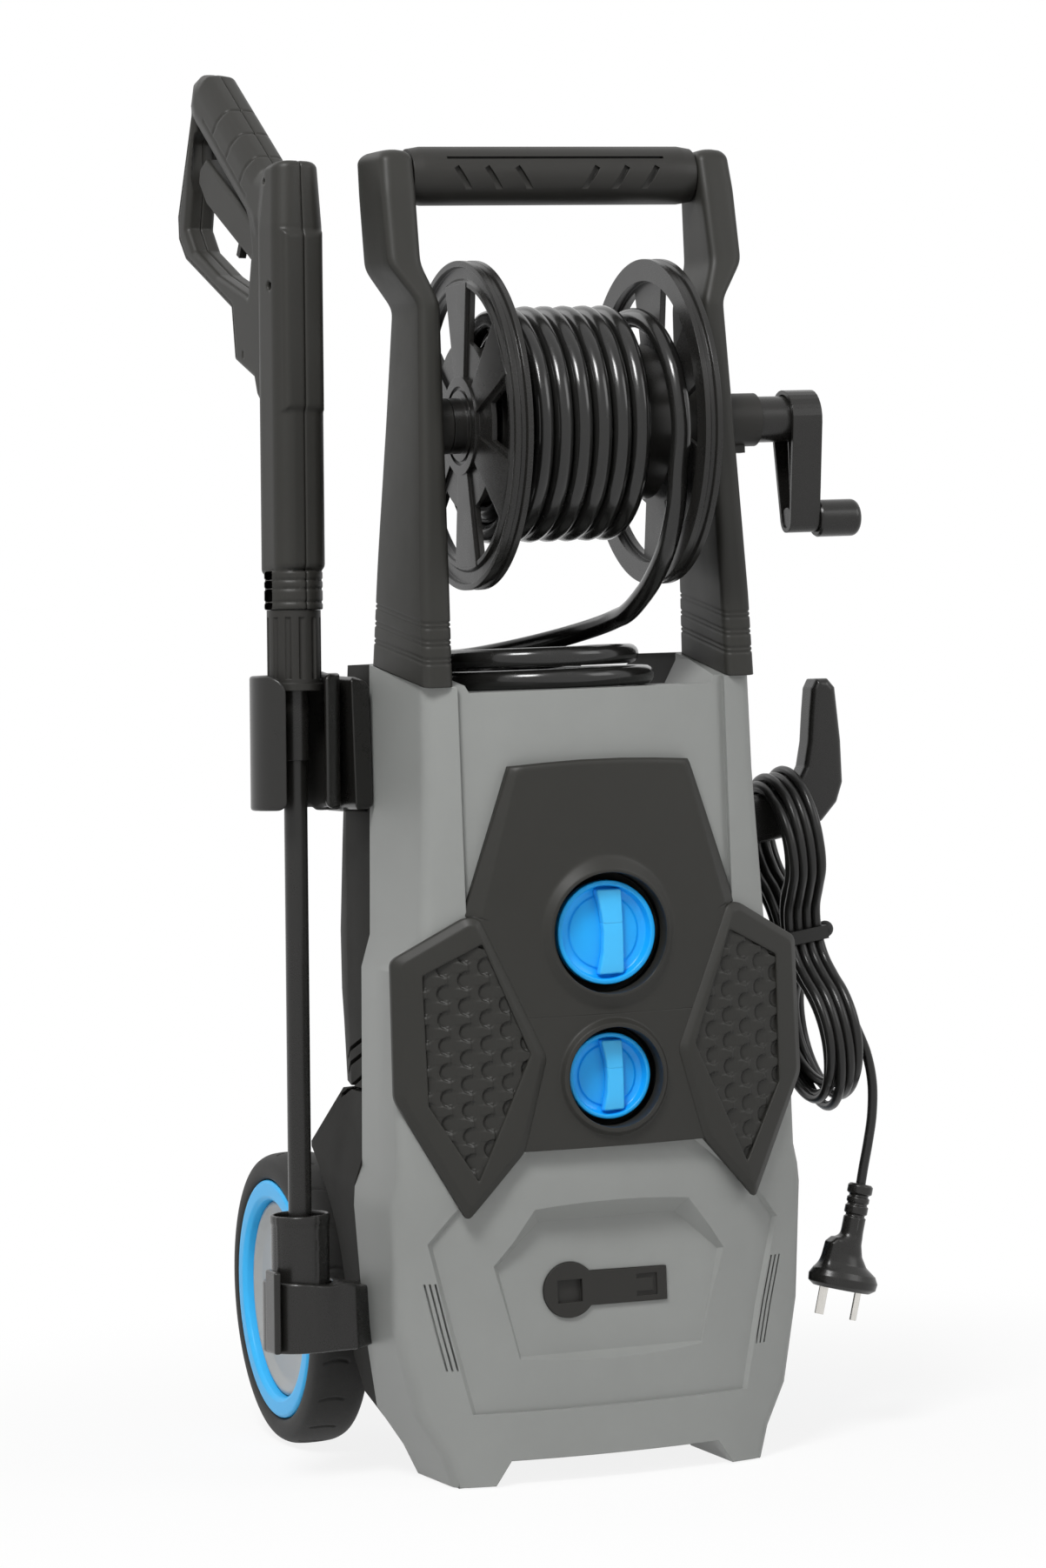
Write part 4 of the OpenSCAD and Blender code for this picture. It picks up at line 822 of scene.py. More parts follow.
reliefs = []
for side, hand in SIDES:
    loft("wing_frame_" + hand, wing_rings() * [side, 1, 1], "base", "black_plastic",
         ["panel_wings"], panel_black)
    reliefs.append(relief("relief_" + hand, side))
print("reliefs", [len(p.data.polygons) for p in reliefs])

# %% [markdown]
# ## The knobs
# A knob is turned round its axis but for the bar across it: a shallow cup with a low disc in its
# floor. The bar is brighter, a plate with a hollow left side and soft edges. It is in two parts
# that overlap at the index line, and the upper one stands a hair higher.

# %% Make the knobs
KNOB_R = 35.5
BAR = [(12.4, -28.6), (12.9, 0), (12.2, 29.3), (-6.8, 29.6), (-3.2, 12), (-2.2, 0), (-3.0, -14),
       (-6.6, -29.0)]


def revolve(name, profile, y, z, *rest, count=128):
    """Profile of (radius, height) pairs turned about an axis that runs forwards from (0, y, z)."""
    a = np.linspace(0, 2 * np.pi, count, endpoint=False)
    r, h = np.asarray(profile, float).T[:, :, None]
    return loft(name, np.stack([r * np.cos(a), y - h + 0 * a, z + r * np.sin(a)], -1), *rest)


def cut_between(corners, low, high):
    """Part of an outline between two heights: points outside move along their edge to the cut."""
    kept = []
    for (x0, z0), (x1, z1) in zip(corners, np.roll(corners, -1, 0)):
        if low <= z0 <= high:
            kept.append((x0, z0))
        for cut in (low, high) if z0 <= z1 else (high, low):
            if min(z0, z1) < cut < max(z0, z1):
                kept.append((x0 + (x1 - x0) * (cut - z0) / (z1 - z0), cut))
    return np.array(kept)


def knob(name, radius, y, z, body, node):
    """Cup of the knob and the two parts of its bar, to the scale k of the larger knob."""
    k = radius / KNOB_R
    profile = round_off([(0.5, 0), (radius - 2, 0), (radius, 2), (radius, 9.6),
                         (radius - 3.4 * k, 9.6), (radius - 4.6 * k, 3.4), (radius - 8.5 * k, 2.4),
                         (25.5 * k, 2.4), (24.6 * k, 3.5), (0.5, 4.0)], 1.0)
    revolve(name + "_cup", profile, y, z, body, "blue_plastic", [node])
    cut = 5 * k
    for part, low, high, top in (("upper", cut, 40, 9.5), ("lower", -40, cut + 2.5, 9.2)):
        c = cut_between(np.array(BAR) * k, low, high)
        sides = outline(c, 2.2 * k, 5, 6)
        crest = outline(inset(c, 1.1 * k), 1.8 * k, 5, 6)
        flat = [(sides, 1.5), (sides, 6.0), (outline(inset(c, 0.35 * k), 2.1 * k, 5, 6), top - 0.6),
                (crest, top), (0.5 * (crest + crest.mean(0)), top + 0.05)]
        rings = np.stack([at_depth(f + [0, z], y - h) for f, h in flat])
        loft(f"{name}_bar_{part}", round_off(rings, 0.7, 4), body, "blue_plastic", [node],
             blue_bright)


knob("power_knob_dial", KNOB_R, UPPER_FLOOR - 0.5, UPPER_Z, "power_dial", "power_knob")
knob("detergent_knob_dial", 29.5, LOWER_FLOOR - 0.5, LOWER_Z, "detergent_dial", "detergent_knob")

# %% [markdown]
# ## The uprights
# Each upright is a tapering box with soft corners. It leans back as it rises, steps outwards near
# the top, and ends in a rounded cap beside the grip. Its four corners are given at a few heights
# and read off in between; a weighted mean over 19 mm turns the step into a soft double curve.
# Low down, the rows lie parallel to the sloping shoulder, so three pairs of grooves do as well.

# %% Make the uprights
UPRIGHT_KEYS = np.array([  # height, inner x, outer x in front, outer x behind, front y, rear y
    (544, 99.5, 120, 129.5, -148, -60), (600, 98.5, 119, 126, -146.5, -64),
    (700, 97, 115, 119, -143.3, -70), (803, 95.5, 111, 111, -140, -76),
    (830, 105.2, 128.5, 130, -132, -77), (880, 104, 128, 133, -123, -79),
    (909, 103.5, 126, 134, -116, -80)])
GROOVES = (560, 563, 572, 575, 584, 587)
CAP_R = 8.0


def upright_rows():
    """Rings from the foot to the cap, one to a millimetre. Near the top the section shrinks along
    a quarter circle, and each groove is a V 0.8 mm deep."""
    z = np.arange(UPRIGHT_KEYS[0, 0], UPRIGHT_KEYS[-1, 0] + 0.01)
    columns = [np.interp(z, UPRIGHT_KEYS[:, 0], UPRIGHT_KEYS[:, k]) for k in range(1, 6)]
    kernel = np.hanning(19) / np.hanning(19).sum()
    soft = [np.convolve(np.pad(c, 9, mode="edge"), kernel, mode="valid") for c in columns]
    soft = [np.where(z < 560, c, s) for c, s in zip(columns, soft)]
    into_cap = np.clip(z - z[-1] + CAP_R, 0, CAP_R)
    shrink = CAP_R - np.sqrt(CAP_R**2 - into_cap**2)
    groove = sum(np.clip(1 - np.abs(z - at) / 1.1, 0, 1) for at in GROOVES)
    slope = 0.19 * (1 - ease(z, 600, 740))
    rings = []
    for i, (xi, xf, xr, yf, yr) in enumerate(zip(*soft)):
        section = inset([(xi, yf), (xf, yf), (xr, yr), (xi, yr)], shrink[i] + 0.8 * groove[i])
        x, y = outline(section, 6.5, 7, 3).T
        rings.append(np.stack([x, y, z[i] + 0.05 + slope[i] * (y + 149)], -1))
    return np.stack(rings)


for side, hand in SIDES:
    upright = loft("upright_moulding_" + hand, upright_rows() * [side, 1, 1], "base",
                   "black_plastic", ["upright_" + hand], panel_black)
    print(upright.name, len(upright.data.polygons), "faces")

# %% [markdown]
# ## The wheels
# Tyre, rim and hub are turned about the axle, each from one closed profile. The tyre's profile is
# a loop that also carries the tread: short curved grooves, which are dips of its radius.

# %% Make the wheels
WHEEL_X, WHEEL_Y, WHEEL_Z = 104.0, 112.5, 105.0
BORE = 6.5
TYRE_R = 105
TREADS, TREAD_DEPTH = 20, 1.2
TYRE = [(86, 21), (88.5, 18.4), (95, 18), (101.5, 20.5), (104.3, 27), (TYRE_R, 36), (TYRE_R, 46),
        (104.2, 54), (100.8, 60), (94, 61.8), (88.5, 61.6), (86, 59)]
RIM = [(85.8, 19.8), (85.8, 60), (84, 61.6), (74, 61.6), (71.2, 59), (71.2, 33), (66, 33),
       (66, 29), (74, 29), (74, 57), (82.8, 57), (82.8, 19.8)]
HUB = [(0.5, 40.5), (BORE, 40.5), (BORE, 2), (16, 2), (16, 34), (70.8, 36), (70.8, 54),
       (67, 55.5), (60, 51), (32, 49), (25, 54.5), (11, 57), (0.5, 57)]


def resampled(profile, step=2.0):
    """Closed profile with rounded corners, cut into even steps so that grooves can end in it."""
    p = round_off(profile, 3.0, 6, closed=True)
    return even_loop(p, int(path_length(np.vstack([p, p[:1]])) / step))


def wheel_part(part, side, hand, profile, slot, finish=None, hollow=True, count=128, treads=0):
    """Profile of (radius, place outwards) turned about the axle. Tread grooves lie where the angle
    is within 1.35 mm of one of the parabolas a = k + 0.02 ((x - 45) / 8)^2."""
    a = np.linspace(0, 2 * np.pi, count, endpoint=False)
    r, x = profile.T[:, :, None]
    if treads:
        pitch = 2 * np.pi / treads
        off = np.mod(a - 0.02 * ((x - 45) / 8) ** 2 + pitch / 2, pitch) - pitch / 2
        groove = np.clip(1.5 - np.abs(off) * TYRE_R / 0.9, 0, 1)
        r = r - TREAD_DEPTH * groove * (np.abs(x - 46) < 9) * (r > TYRE_R - 2.5)
    points = np.stack([side * (WHEEL_X + x + 0 * a), WHEEL_Y + r * np.cos(a),
                       WHEEL_Z + r * np.sin(a)], -1)
    return loft(f"{part}_moulding_{hand}", points, "wheel_" + hand, slot, [f"{part}_{hand}"],
                finish, hollow)


wheels = []
for side, hand in SIDES:
    wheels += [wheel_part("tyre", side, hand, round_off(resampled(TYRE), 0.4, 2, closed=True),
                          "tyre", count=720, treads=TREADS),
               wheel_part("rim", side, hand, round_off(RIM, 1.0, closed=True), "blue_plastic",
                          rim_blue),
               wheel_part("hub", side, hand, round_off(HUB, 2.0), "hub_grey", hollow=False)]
print("wheels", [len(p.data.polygons) for p in wheels])

# %% [markdown]
# ## Soft shading for the moulded shells
# The housings and the grip bar are loose triangles in the CAD model, as they left the solid
# modeller. A copy with its corners merged can share normals across low edges, so the bowed
# and rounded faces look smooth, while edges sharper than the limit stay crisp.

# %% Smooth copies
def smoothed(node, slot, finish=None, limit=math.radians(32)):
    """Copy of a CAD node with merged corners and with edges marked sharp beyond the limit."""
    mesh = bmesh.new()
    mesh.from_mesh(frame["nodes"][node].data)
    bmesh.ops.remove_doubles(mesh, verts=mesh.verts, dist=1e-6)
    for edge in mesh.edges:
        edge.smooth = len(edge.link_faces) == 2 and edge.calc_face_angle(0.0) < limit
    for face in mesh.faces:
        face.smooth = True
    data = bpy.data.meshes.new(node + "_shell")
    mesh.to_mesh(data)
    mesh.free()
    return add_piece(node + "_shell", data, "base", slot, [node], finish)


shells = [smoothed("front_housing", "grey_plastic"),
          smoothed("rear_housing", "black_plastic", matt_black),
          smoothed("grip_bar", "black_plastic")]
print("smooth shells", [len(p.data.polygons) for p in shells])

# %% [markdown]
# ## Soft forms as signed distances
# The spray gun, the plug and the cable hook have no flat faces and no sharp edges: the corners of
# one shape run into the next. Such a form is easy to write as a distance. The distance to an
# outline and the distance through the thickness join into a rounded plate, a soft minimum joins
# two plates with a fillet, a maximum cuts one from the other, and a small bump on the distance is
# a groove. The skin lies where the distance is zero. Surface nets find it: each grid cell that the
# skin crosses gives one point, and each grid edge that it crosses gives one face.

# %% Distances
def polygon_distance(x, z, corners):
    """Distance to a closed outline, negative inside: the nearest of the edges a + t e with t held
    between 0 and 1, and the sign from the number of edges that a ray to the right crosses."""
    far, inside = 1e9, False
    for a, b in zip(np.asarray(corners, float), np.roll(np.asarray(corners, float), -1, 0)):
        e = b - a
        t = np.clip(((x - a[0]) * e[0] + (z - a[1]) * e[1]) / (e @ e), 0, 1)
        far = np.minimum(far, np.hypot(x - a[0] - t * e[0], z - a[1] - t * e[1]))
        over = (a[1] <= z) != (b[1] <= z)
        inside = inside ^ (over & (x < a[0] + (z - a[1]) * e[0] / (e[1] or 1.0)))
    return np.where(inside, -far, far)


def both(*distances):
    """Solid that all the distances share, with sharp edges: their maximum."""
    return functools.reduce(np.maximum, distances)


def meet(a, b, radius):
    """Solid that two distances share, with a rounded edge between them: both grow by the radius,
    are joined as the sides of a right angle, and the radius is taken off again."""
    a, b = a + radius, b + radius
    return np.minimum(np.maximum(a, b), 0) + np.hypot(np.maximum(a, 0), np.maximum(b, 0)) - radius


def slab(t, half):
    """Distance to a slab that reaches half its thickness to either side of t = 0."""
    return np.abs(t) - half


def plate(d, t, half, radius):
    """Outline at distance d given a thickness, with rounded edges."""
    return meet(d, slab(t, half), radius)


def blend(a, b, k):
    """Soft minimum: within k of each other the two distances are rounded together."""
    h = np.maximum(k - np.abs(a - b), 0) / k
    return np.minimum(a, b) - h * h * k / 4


def dip(d, width):
    """1 on a line, falling to 0 at the width to either side of it."""
    return np.clip(1 - np.abs(d) / width, 0, 1)


def surface_net(name, distance, low, high, step, place, body, slot, stands_for, finish=None):
    """Mesh of distance(x, y, z) = 0 in a box. A cell's point is the mean of the crossings on its
    twelve edges, where a linear change puts them; two Newton steps p - d g / |g|^2 along the slope
    g then set it on the skin. Place takes the points into the scene, in metres."""
    axes = [np.arange(a, b + step, step) for a, b in zip(low, high)]
    x, y, z = np.meshgrid(*axes, indexing="ij", sparse=True)
    v = distance(x, y, z) + 0 * (x + y + z)
    cells = tuple(n - 1 for n in v.shape)
    total, count, crossed = np.zeros(cells + (3,)), np.zeros(cells), []
    for axis in range(3):
        w = np.moveaxis(v, axis, 0)
        cross = (w[:-1] < 0) != (w[1:] < 0)
        share = np.where(cross, w[:-1] / np.where(cross, w[:-1] - w[1:], 1), 0)
        crossed.append((cross, w[:-1] < 0))
        second, third = [a for a in range(3) if a != axis]
        for i, j in ((0, 0), (0, 1), (1, 0), (1, 1)):
            part = (slice(None), slice(i, i + cells[second]), slice(j, j + cells[third]))
            c, s = (np.moveaxis(q[part], 0, axis) for q in (cross, share))
            count += c
            total[..., axis] += s
            total[..., second] += i * c
            total[..., third] += j * c
    used = count > 0
    number = np.full(cells, -1)
    number[used] = np.arange(used.sum())
    p = (np.argwhere(used) + total[used] / count[used][:, None]) * step + [a[0] for a in axes]
    for _ in range(2):
        e = np.eye(3) * 0.02
        g = np.stack([distance(*(p + s).T) - distance(*(p - s).T) for s in e], -1) / 0.04
        move = distance(*p.T)[:, None] * g / np.maximum((g * g).sum(1, keepdims=True), 0.3)
        p = p - np.clip(move, -0.4 * step, 0.4 * step)
    faces = []
    for axis, (cross, inner) in enumerate(crossed):
        b, c = (axis + 1) % 3, (axis + 2) % 3
        n = number.transpose(axis, b, c)
        if b > c:
            cross, inner = cross.transpose(0, 2, 1), inner.transpose(0, 2, 1)
        k, i, j = np.nonzero(cross[:, 1:-1, 1:-1])
        quad = np.stack([n[k, i, j], n[k, i + 1, j], n[k, i + 1, j + 1], n[k, i, j + 1]], -1)
        out = inner[:, 1:-1, 1:-1][k, i, j]
        faces.append(np.where(out[:, None], quad, quad[:, ::-1]))
    return make_piece(name, place(p), np.concatenate(faces), body, slot, stands_for, finish)


def leant(x, y, up, foot, angle):
    """Points leant towards +x by an angle about a foot, in metres."""
    c, s = math.cos(angle), math.sin(angle)
    return np.stack([foot[0] + x * c + up * s, foot[1] + y, foot[2] - x * s + up * c], -1) * MM


# %% [markdown]
# ## The spray gun
# The gun is two shells that meet in a middle plane. Seen from the side it is one outline with a
# hand hole. Three plates of it are blended: the web with the guard, the thicker and rounder handle,
# and the column round the valve, whose front carries a raised plate. The rings round the handle,
# the rim of the guard and the seam are dips on the distance. Inside are the seats of the valve,
# the lance and the trigger, as in the CAD model.

# %% Make the spray gun
LANCE_FOOT = (-194.5, -58, 196)
LEAN = math.radians(1.7)
GUN_TURN = math.radians(100)
GUN = [(-16, 640), (-16, 880), (0, 900), (20, 903), (103, 974.8), (112, 976.6), (122, 973),
       (128, 957), (153, 882), (152, 865), (141, 850), (70, 811), (65, 775), (36, 761),
       (32, 749), (24, 741), (21.4, 626), (0, 626)]
HANDLE = [(0, 860), (0, 896), (20, 902), (103, 974.8), (112, 976.6), (122, 973), (127, 957),
          (118, 940), (43, 876), (28, 860)]
HAND_HOLE = [(43, 876), (123, 947), (137, 872), (126, 856), (90, 836), (44, 818), (38, 850)]
LEVER = [(27, 839), (34, 835.5), (48, 845), (112, 887), (124, 903), (122, 913), (112, 919),
         (60, 884), (28, 859)]
LEVER_ROOM = [(20, 826), (46, 826), (56, 840), (132, 892), (132, 932), (118, 946), (60, 912),
              (20, 876)]
PIVOT = (34, 845)


def in_gun(p):
    """Points given by place back along the handle, thickness and height, turned about the lance
    and leant with it."""
    h, t, z = p.T
    c, s = math.cos(GUN_TURN), math.sin(GUN_TURN)
    return leant(c * h - s * t, s * h + c * t, z - LANCE_FOOT[2], LANCE_FOOT, LEAN)


def gun_skin(h, t, z):
    """Both shells as one solid, with their grooves."""
    hole = -polygon_distance(h, z, HAND_HOLE)
    side = polygon_distance(h, z, GUN)
    web = plate(both(side, hole), t, 11.5, 4.5)
    handle = plate(both(polygon_distance(h, z, HANDLE), hole), t, 15.5, 12.5)
    top = np.maximum(z - 862, 0)
    section = np.hypot(np.maximum(np.abs(h + 0.05 * top) - 7.5 + 0.11 * top, 0),
                       np.maximum(np.abs(t) - 7 + 0.05 * top, 0)) - 12
    column = plate(section, z - 765 + 0.12 * h, 139.5, 5)
    face = plate(both(slab(z - 797, 61), slab(t, 15.5)), h + 11, 10.6, 4.5)
    along = (h - 31) * 0.742 + (z - 911) * 0.67
    across = (z - 901) * 0.742 - (h - 20) * 0.67
    rings = sum(dip(along - k, 1.1) for k in (0, 27.6, 55.2)) * (across > -21)
    line = dip(across + 21.5, 1.0) * (np.abs(along - 30) < 44)
    rim = dip(side + 4.5, 1.0) * (h > 60) * (across < -24)
    body = blend(blend(blend(web, handle, 6), column, 3), face, 2.5)
    nose = plate(np.hypot(h, t) - 20, z - 614, 13.1, 1.2)
    nose = nose + 1.1 * sum(dip(z - k, 1.3) for k in (606, 615, 621))
    return np.minimum(body + 0.8 * (rings + line) + 0.6 * rim, nose) + 0.55 * dip(t, 0.9)


def gun_distance(h, t, z):
    """Skin of the gun less its screw holes, the lock's marks, and the seats of lance, pipe, valve,
    lever and trunnions."""
    holes = np.minimum(np.hypot(h + 5, z - 821) - 2.9, np.hypot(h - 5, z - 893) - 2.4)
    cuts = (both(holes, 11 - np.abs(t)),
            both(slab(h - 50, 0.9), slab(z - 778, 2.6), 10.6 - np.abs(t)),
            both(np.hypot(h, t) - 12.2, z - 650),
            both(np.hypot(h, t) - 9, z - 809),
            both(slab(h - 2, 14), slab(t, 12), slab(z - 820, 30)),
            both(polygon_distance(h, z, LEVER_ROOM), slab(t, 9.2)),
            both(np.hypot(h - PIVOT[0], z - PIVOT[1]) - 3.3, slab(t, 11.0)))
    return both(gun_skin(h, t, z), *(-cut for cut in cuts))


def lever_distance(h, t, z):
    """Lever with its trunnions, and the slot and pin hole of the lock."""
    lever = plate(polygon_distance(h, z, LEVER), t, 8.6, 3.2)
    pin = both(np.hypot(h - PIVOT[0], z - PIVOT[1]) - 2.9, slab(t, 10.6))
    slot = both(slab(h - 66, 10), slab(t, 3), slab(z - 865, 16))
    hole = both(np.hypot(h - 66, z - 866) - 1.8, slab(t, 6.5))
    return both(np.minimum(lever, pin), -slot, -hole)


gun = []
for side, hand in ((1, "left"), (-1, "right")):
    def half(h, t, z):
        return both(gun_distance(h, t, z), 0.07 - side * t)
    ends = sorted((-1.5 * side, 18.5 * side))
    gun.append(surface_net("gun_" + hand, half, (-24, ends[0], 599), (156, ends[1], 981), 1.15,
                           in_gun, "gun", "black_plastic", ["gun_shell_" + hand], gun_black))
gun.append(surface_net("gun_lever", lever_distance, (24, -12, 831), (127, 12, 922), 0.9, in_gun,
                       "trigger_lever", "black_plastic", ["trigger"], gun_black))
print("gun", [len(p.data.polygons) for p in gun])

# %% [markdown]
# ## The plug and the cable hook
# The plug is a dome turned about its axis and flattened from front to back, with a thumb rest on
# one side and a ribbed relief for the cable. The hook is a J-shaped arm: one outline in the plane
# across the machine, thick from front to back, and all its edges are well rounded.

# %% Make the plug and the hook
PLUG = [(0, 5), (21, 5), (25.4, 8), (26, 13), (23.5, 17.5), (15.5, 23), (10.8, 30), (8.6, 38),
        (8, 47), (8, 57), (6.8, 57.8), (6.8, 59), (8.3, 60), (8.3, 65), (7, 66), (7, 67), (8.1, 68),
        (8.1, 71), (6.8, 72), (6.8, 73), (9, 74.5), (9, 79.5), (7.5, 81), (0, 81)]
THUMB_REST = [(-19, 14), (-17, 37), (-13, 41), (0, 42), (0, 14)]
PLUG_AT = (214.8, -80, 173.2)
PLUG_HEIGHT = 75.6  # of the place above, in the plug's own frame
PLUG_TILT = math.radians(14)
PIN_TURN = math.radians(30)
HOOK = [(136, 419), (186, 428), (207, 437), (219, 450), (224, 464), (223.6, 494), (220.5, 532),
        (215, 538.5), (206, 538.5), (202.5, 532), (200.5, 515), (198.5, 494), (195, 477),
        (189, 466), (180, 459), (136, 457)]


def plug_distance(x, y, z):
    """Profile turned about the axis and flattened near its foot, which makes its distances a little
    too long, hence the factor. The thumb rest is blended in and the cable's bore cut out."""
    flat = 0.72 + 0.28 * np.clip((z - 18) / 24, 0, 1)
    dome = polygon_distance(np.hypot(x, y / flat), z, PLUG) * 0.85
    rest = plate(polygon_distance(x, z, THUMB_REST), y, 8, 4)
    bore = both(np.hypot(x, y) - 4.4, 72 - z)
    return both(blend(dome, rest, 5), -bore)


def pin_distance(x, y, z):
    """Two flat pins with rounded ends, turned to either side."""
    far = 1e9
    for side in (-1, 1):
        c, s = math.cos(PIN_TURN), math.sin(PIN_TURN) * side
        dx, dy = x - 11.5 * side, y + 4 * side
        side_view = both(slab(dx * c + dy * s, 3.2), slab(z + 4.5, 10.5))
        far = np.minimum(far, plate(side_view, dy * c - dx * s, 0.95, 0.4))
    return far


def hook_distance(x, y, z):
    """Arm with rounded edges, and its foot in the housing."""
    arm = plate(polygon_distance(x, z, HOOK), y + 46, 12, 5.5)
    foot = plate(both(slab(x - 131, 8.8), slab(z - 438, 16.8)), y + 46, 9.8, 1)
    return blend(arm, foot, 1)


def in_plug(p):
    """Plug's own frame, tilted about the end of its cable."""
    return leant(p[:, 0], p[:, 1], p[:, 2] - PLUG_HEIGHT, PLUG_AT, PLUG_TILT)


def upright_frame(p):
    """Points that are already in the machine's frame, in metres."""
    return p * MM


small = [surface_net("plug_moulding", plug_distance, (-28, -20, 3), (28, 20, 83), 0.8, in_plug,
                     "base", "black_plastic", ["plug_body"], glossy_black),
         surface_net("plug_pin_pair", pin_distance, (-18, -10, -17), (18, 10, 8), 0.4, in_plug,
                     "base", "pin_metal", ["plug_pins"]),
         surface_net("cable_hook_arm", hook_distance, (120, -60, 417), (226, -32, 541), 1.0,
                     upright_frame, "base", "black_plastic", ["cable_hook"], glossy_black)]
print("plug, pins and hook", [len(p.data.polygons) for p in small])

# %% [markdown]
# ## The holders of the lance
# The clip is a tube with a mouth in front and a block that ties it to the body. The cup is a tube
# with a lip, and a band with a raised left edge carries it. They lean with the lance, so distances
# are taken from its axis, which moves sideways with the height.

# %% Make the holders
CLIP_BLOCK = [(-148, -73), (-134, -68), (-134, -2), (-172, -44), (-151, -46)]
CLIP_MIDDLE, CLIP_HALF = 510.5, 46
MOUTH = 14
BAND_ARM = [(-193, -83), (-164, -83), (-148, -66), (-144, -44), (-193, -44)]


def from_lance(x, y, z):
    """Place across and along the machine, counted from the leaning axis of the lance."""
    return (x - LANCE_FOOT[0] - (z - LANCE_FOOT[2]) * math.tan(LEAN), y - LANCE_FOOT[1])


def clip_distance(x, y, z):
    """Tube with a mouth whose upper outer corner is widely rounded, its block and its foot."""
    u, v = from_lance(x, y, z)
    wall = slab(np.hypot(u, v) - 27.9, 2.9)
    corner = np.where(z > CLIP_MIDDLE, np.where(u < 0, 13.0, 5.0), 6.0)
    edge = meet(np.minimum(MOUTH - np.abs(u), -v), slab(z - CLIP_MIDDLE, CLIP_HALF), corner)
    block = meet(polygon_distance(x, y, CLIP_BLOCK), both(z - 555 + 0.3 * (x + 150), 462 - z), 5)
    foot = meet(both(slab(x + 136, 13.4), slab(y + 30.8, 18.8)), slab(z - 501, 40.4), 1)
    return both(np.minimum(blend(meet(wall, edge, 2.2), block, 3), foot), 24.9 - np.hypot(u, v))


def cup_distance(x, y, z):
    """Tube with a thicker lip, a floor with a hole, and four shallow ribs."""
    u, v = from_lance(x, y, z)
    r = np.hypot(u, v)
    rib = 0.4 * (np.abs(np.mod(np.arctan2(v, u) * 2 / np.pi + 0.25, 1) - 0.5) < 0.04)
    lip = 0.7 * np.clip((z - 180) / 2, 0, 1)
    tube = meet(both(r - 20.0 - lip - rib, 18 - r), slab(z - 141, 46), 1.1)
    return np.minimum(tube, both(r - 20, 6 - r, slab(z - 97, 2)))


def band_distance(x, y, z):
    """Ring and arm under one wavy top edge, and a thin flange on the left."""
    u, v = from_lance(x, y, z)
    flat = blend(np.hypot(u, v) - 26.3, both(polygon_distance(x, y, BAND_ARM), -u), 8)
    wave = 139 + 3.5 * np.cos(np.clip((u + 20) / 22, 0, np.pi))
    wave = wave + 3.0 * np.exp(-((u - 26) / 9) ** 2)
    band = meet(flat, both(z - wave, 94 - z), 1.8)
    flange = meet(meet(slab(u + 24, 2.4), slab(v + 14, 11), 1.5), slab(z - 123, 28), 1.5)
    return both(np.minimum(band, flange), 21.4 - np.hypot(u, v))


holders = []
for name, distance, low, high in (
        ("lance_clip", clip_distance, (-222, -92, 459), (-121, 1, 559)),
        ("lance_cup", cup_distance, (-223, -83, 93), (-170, -33, 189)),
        ("cup_band", band_distance, (-224, -86, 92), (-136, -29, 153))):
    holders.append(surface_net(name + "_moulding", distance, low, high, 1.0, upright_frame, "base",
                               "black_plastic", [name], glossy_black))
print("holders", [len(p.data.polygons) for p in holders])

# %% [markdown]
# ## Floor and light
# The machine stands on a white floor in soft light: one large lamp from the upper left front, a
# weaker one from the right, a faint one behind, and a pale world all round. The white behind it is
# the colour that the floor and the world show to the camera and to mirrors, not more light on the
# machine. Close to the wheels part of the floor stays paint, so it keeps the machine's shadow.

# %% Set the stage
def seen_directly(finish):
    """1 for a ray from the camera, off a mirror or through glass, 0 for light that is spread."""
    def ray(kind):
        return finish.node("LightPath", output=kind)
    return ray("Is Camera Ray") + ray("Is Glossy Ray") + ray("Is Transmission Ray")


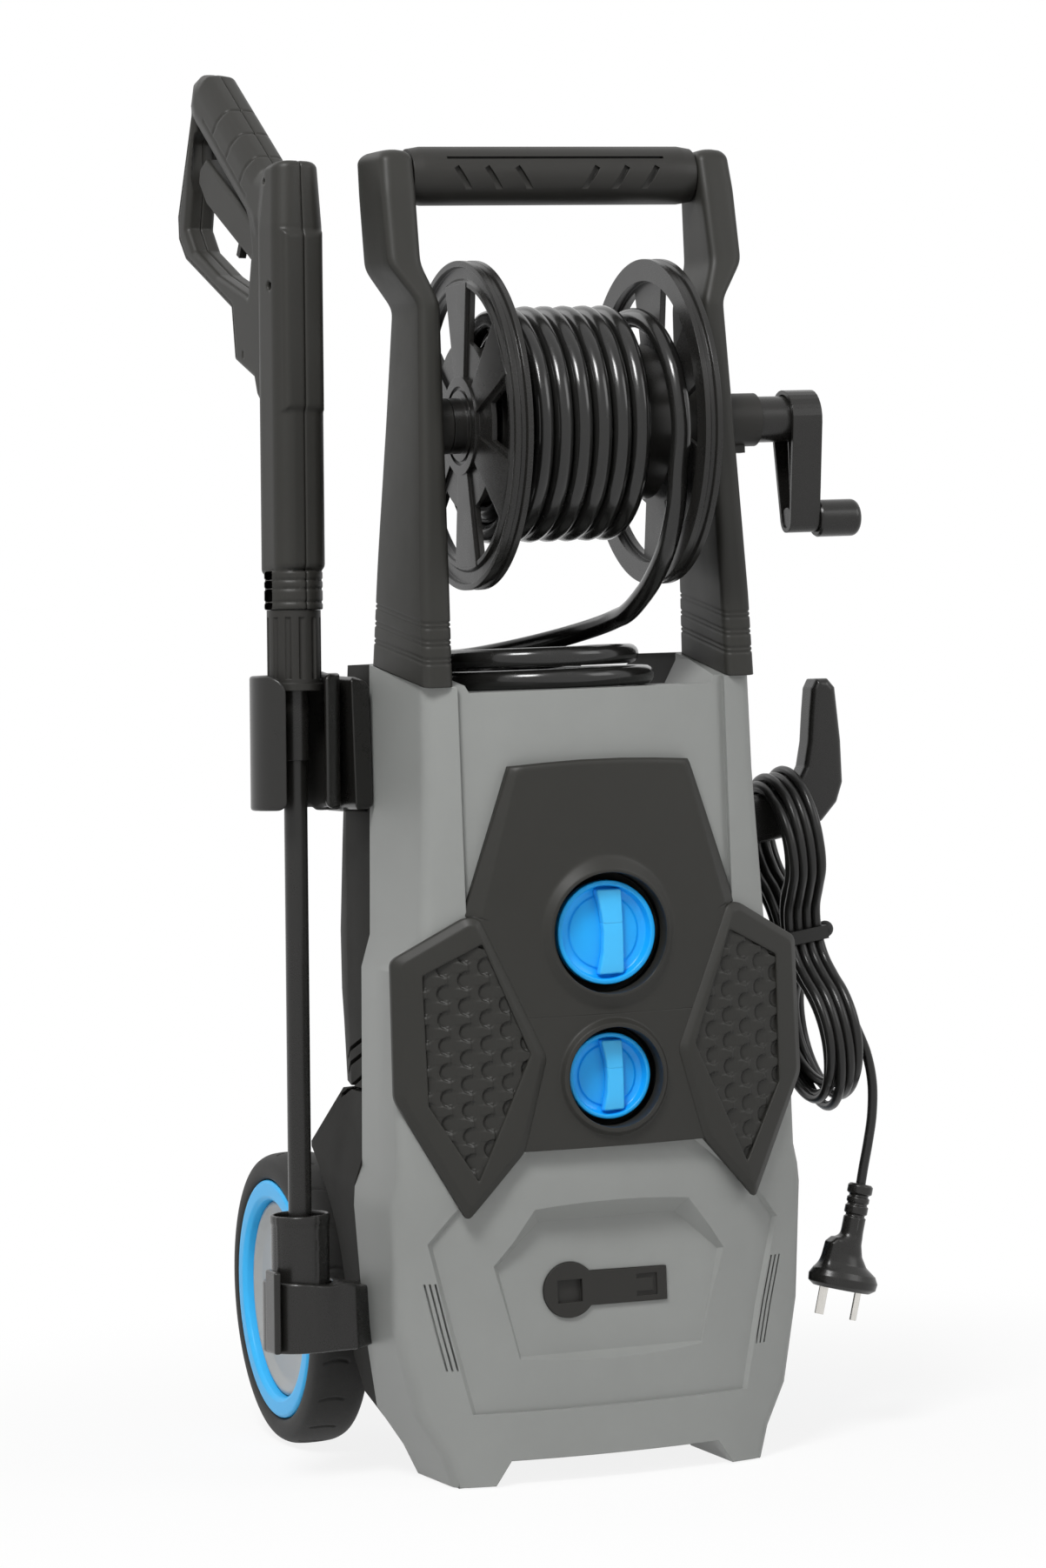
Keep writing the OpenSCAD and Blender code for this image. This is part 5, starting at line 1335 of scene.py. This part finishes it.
def make_floor(half=12.0):
    """Flat square under the wheels. A seventh of what is seen near the machine is paint, and from
    0.85 m outwards all of it is plain white."""
    mesh = bpy.data.meshes.new("floor")
    corners = [(-half, -half), (half, -half), (half, half), (-half, half)]
    mesh.from_pydata([(x, y, -0.5 * MM) for x, y in corners], [], [(0, 1, 2, 3)])
    floor = bpy.data.objects.new("floor", mesh)
    bpy.context.scene.collection.objects.link(floor)
    floor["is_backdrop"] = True
    f = Finish("floor", 0.9, specular=0.0)
    f.set(base_color=(0.95, 0.95, 0.95))
    far = f.node("VectorMath", {"operation": "LENGTH"}, {0: f.place()}, output="Value")
    share = f.node("MapRange", {"interpolation_type": "SMOOTHSTEP", "clamp": True},
                   {"Value": far, "From Min": 0.25, "From Max": 0.85, "To Min": 0.86})
    white = f.node("Emission", {}, {"Color": (1, 1, 1), "Strength": 1.0})
    paint = Value(f, f.shader.outputs[0])
    both_kinds = f.node("MixShader", {}, {0: share * seen_directly(f), 1: paint, 2: white})
    f.put(f.tree.nodes["Material Output"].inputs["Surface"], both_kinds)
    dress(floor, f.material)


class Sky(Finish):
    """Node tree of the world, with the same calls as a material's."""

    def __init__(self):
        self.material = bpy.data.worlds.new("studio")
        self.material.use_nodes = True
        self.tree = self.material.node_tree


def white_behind(strength):
    """World that lights evenly, and is plain white where the camera or a mirror looks at it."""
    sky = Sky()
    light = sky.node("Background", {}, {"Color": (1, 1, 1), "Strength": strength})
    seen = sky.node("Background", {}, {"Color": (1, 1, 1), "Strength": 1.0})
    both_kinds = sky.node("MixShader", {}, {0: seen_directly(sky), 1: light, 2: seen})
    sky.put(sky.tree.nodes["World Output"].inputs["Surface"], both_kinds)
    bpy.context.scene.world = sky.material


def lamp(name, at, size, watts):
    """Square area lamp facing the middle of the machine."""
    data = bpy.data.lights.new(name, "AREA")
    data.size = size
    data.energy = watts
    light = bpy.data.objects.new(name, data)
    bpy.context.scene.collection.objects.link(light)
    light.location = at
    light.rotation_mode = "QUATERNION"
    light.rotation_quaternion = (MIDDLE - Vector(at)).to_track_quat("-Z", "Y")


MIDDLE = Vector((0, 0, 0.5))
make_floor()
white_behind(0.24)
lamp("key", (-1.35, -1.75, 2.8), 0.9, 84)
lamp("fill", (2.0, -2.0, 1.9), 1.4, 18)
lamp("rim", (-1.2, 2.2, 2.6), 1.6, 9)
bpy.context.scene.view_settings.view_transform = "Standard"
print("lamps", len(bpy.data.lights))

# %% Print the size of what is shown
low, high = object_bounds()
print("visual box", [round(x, 3) for x in (*low, *high)])
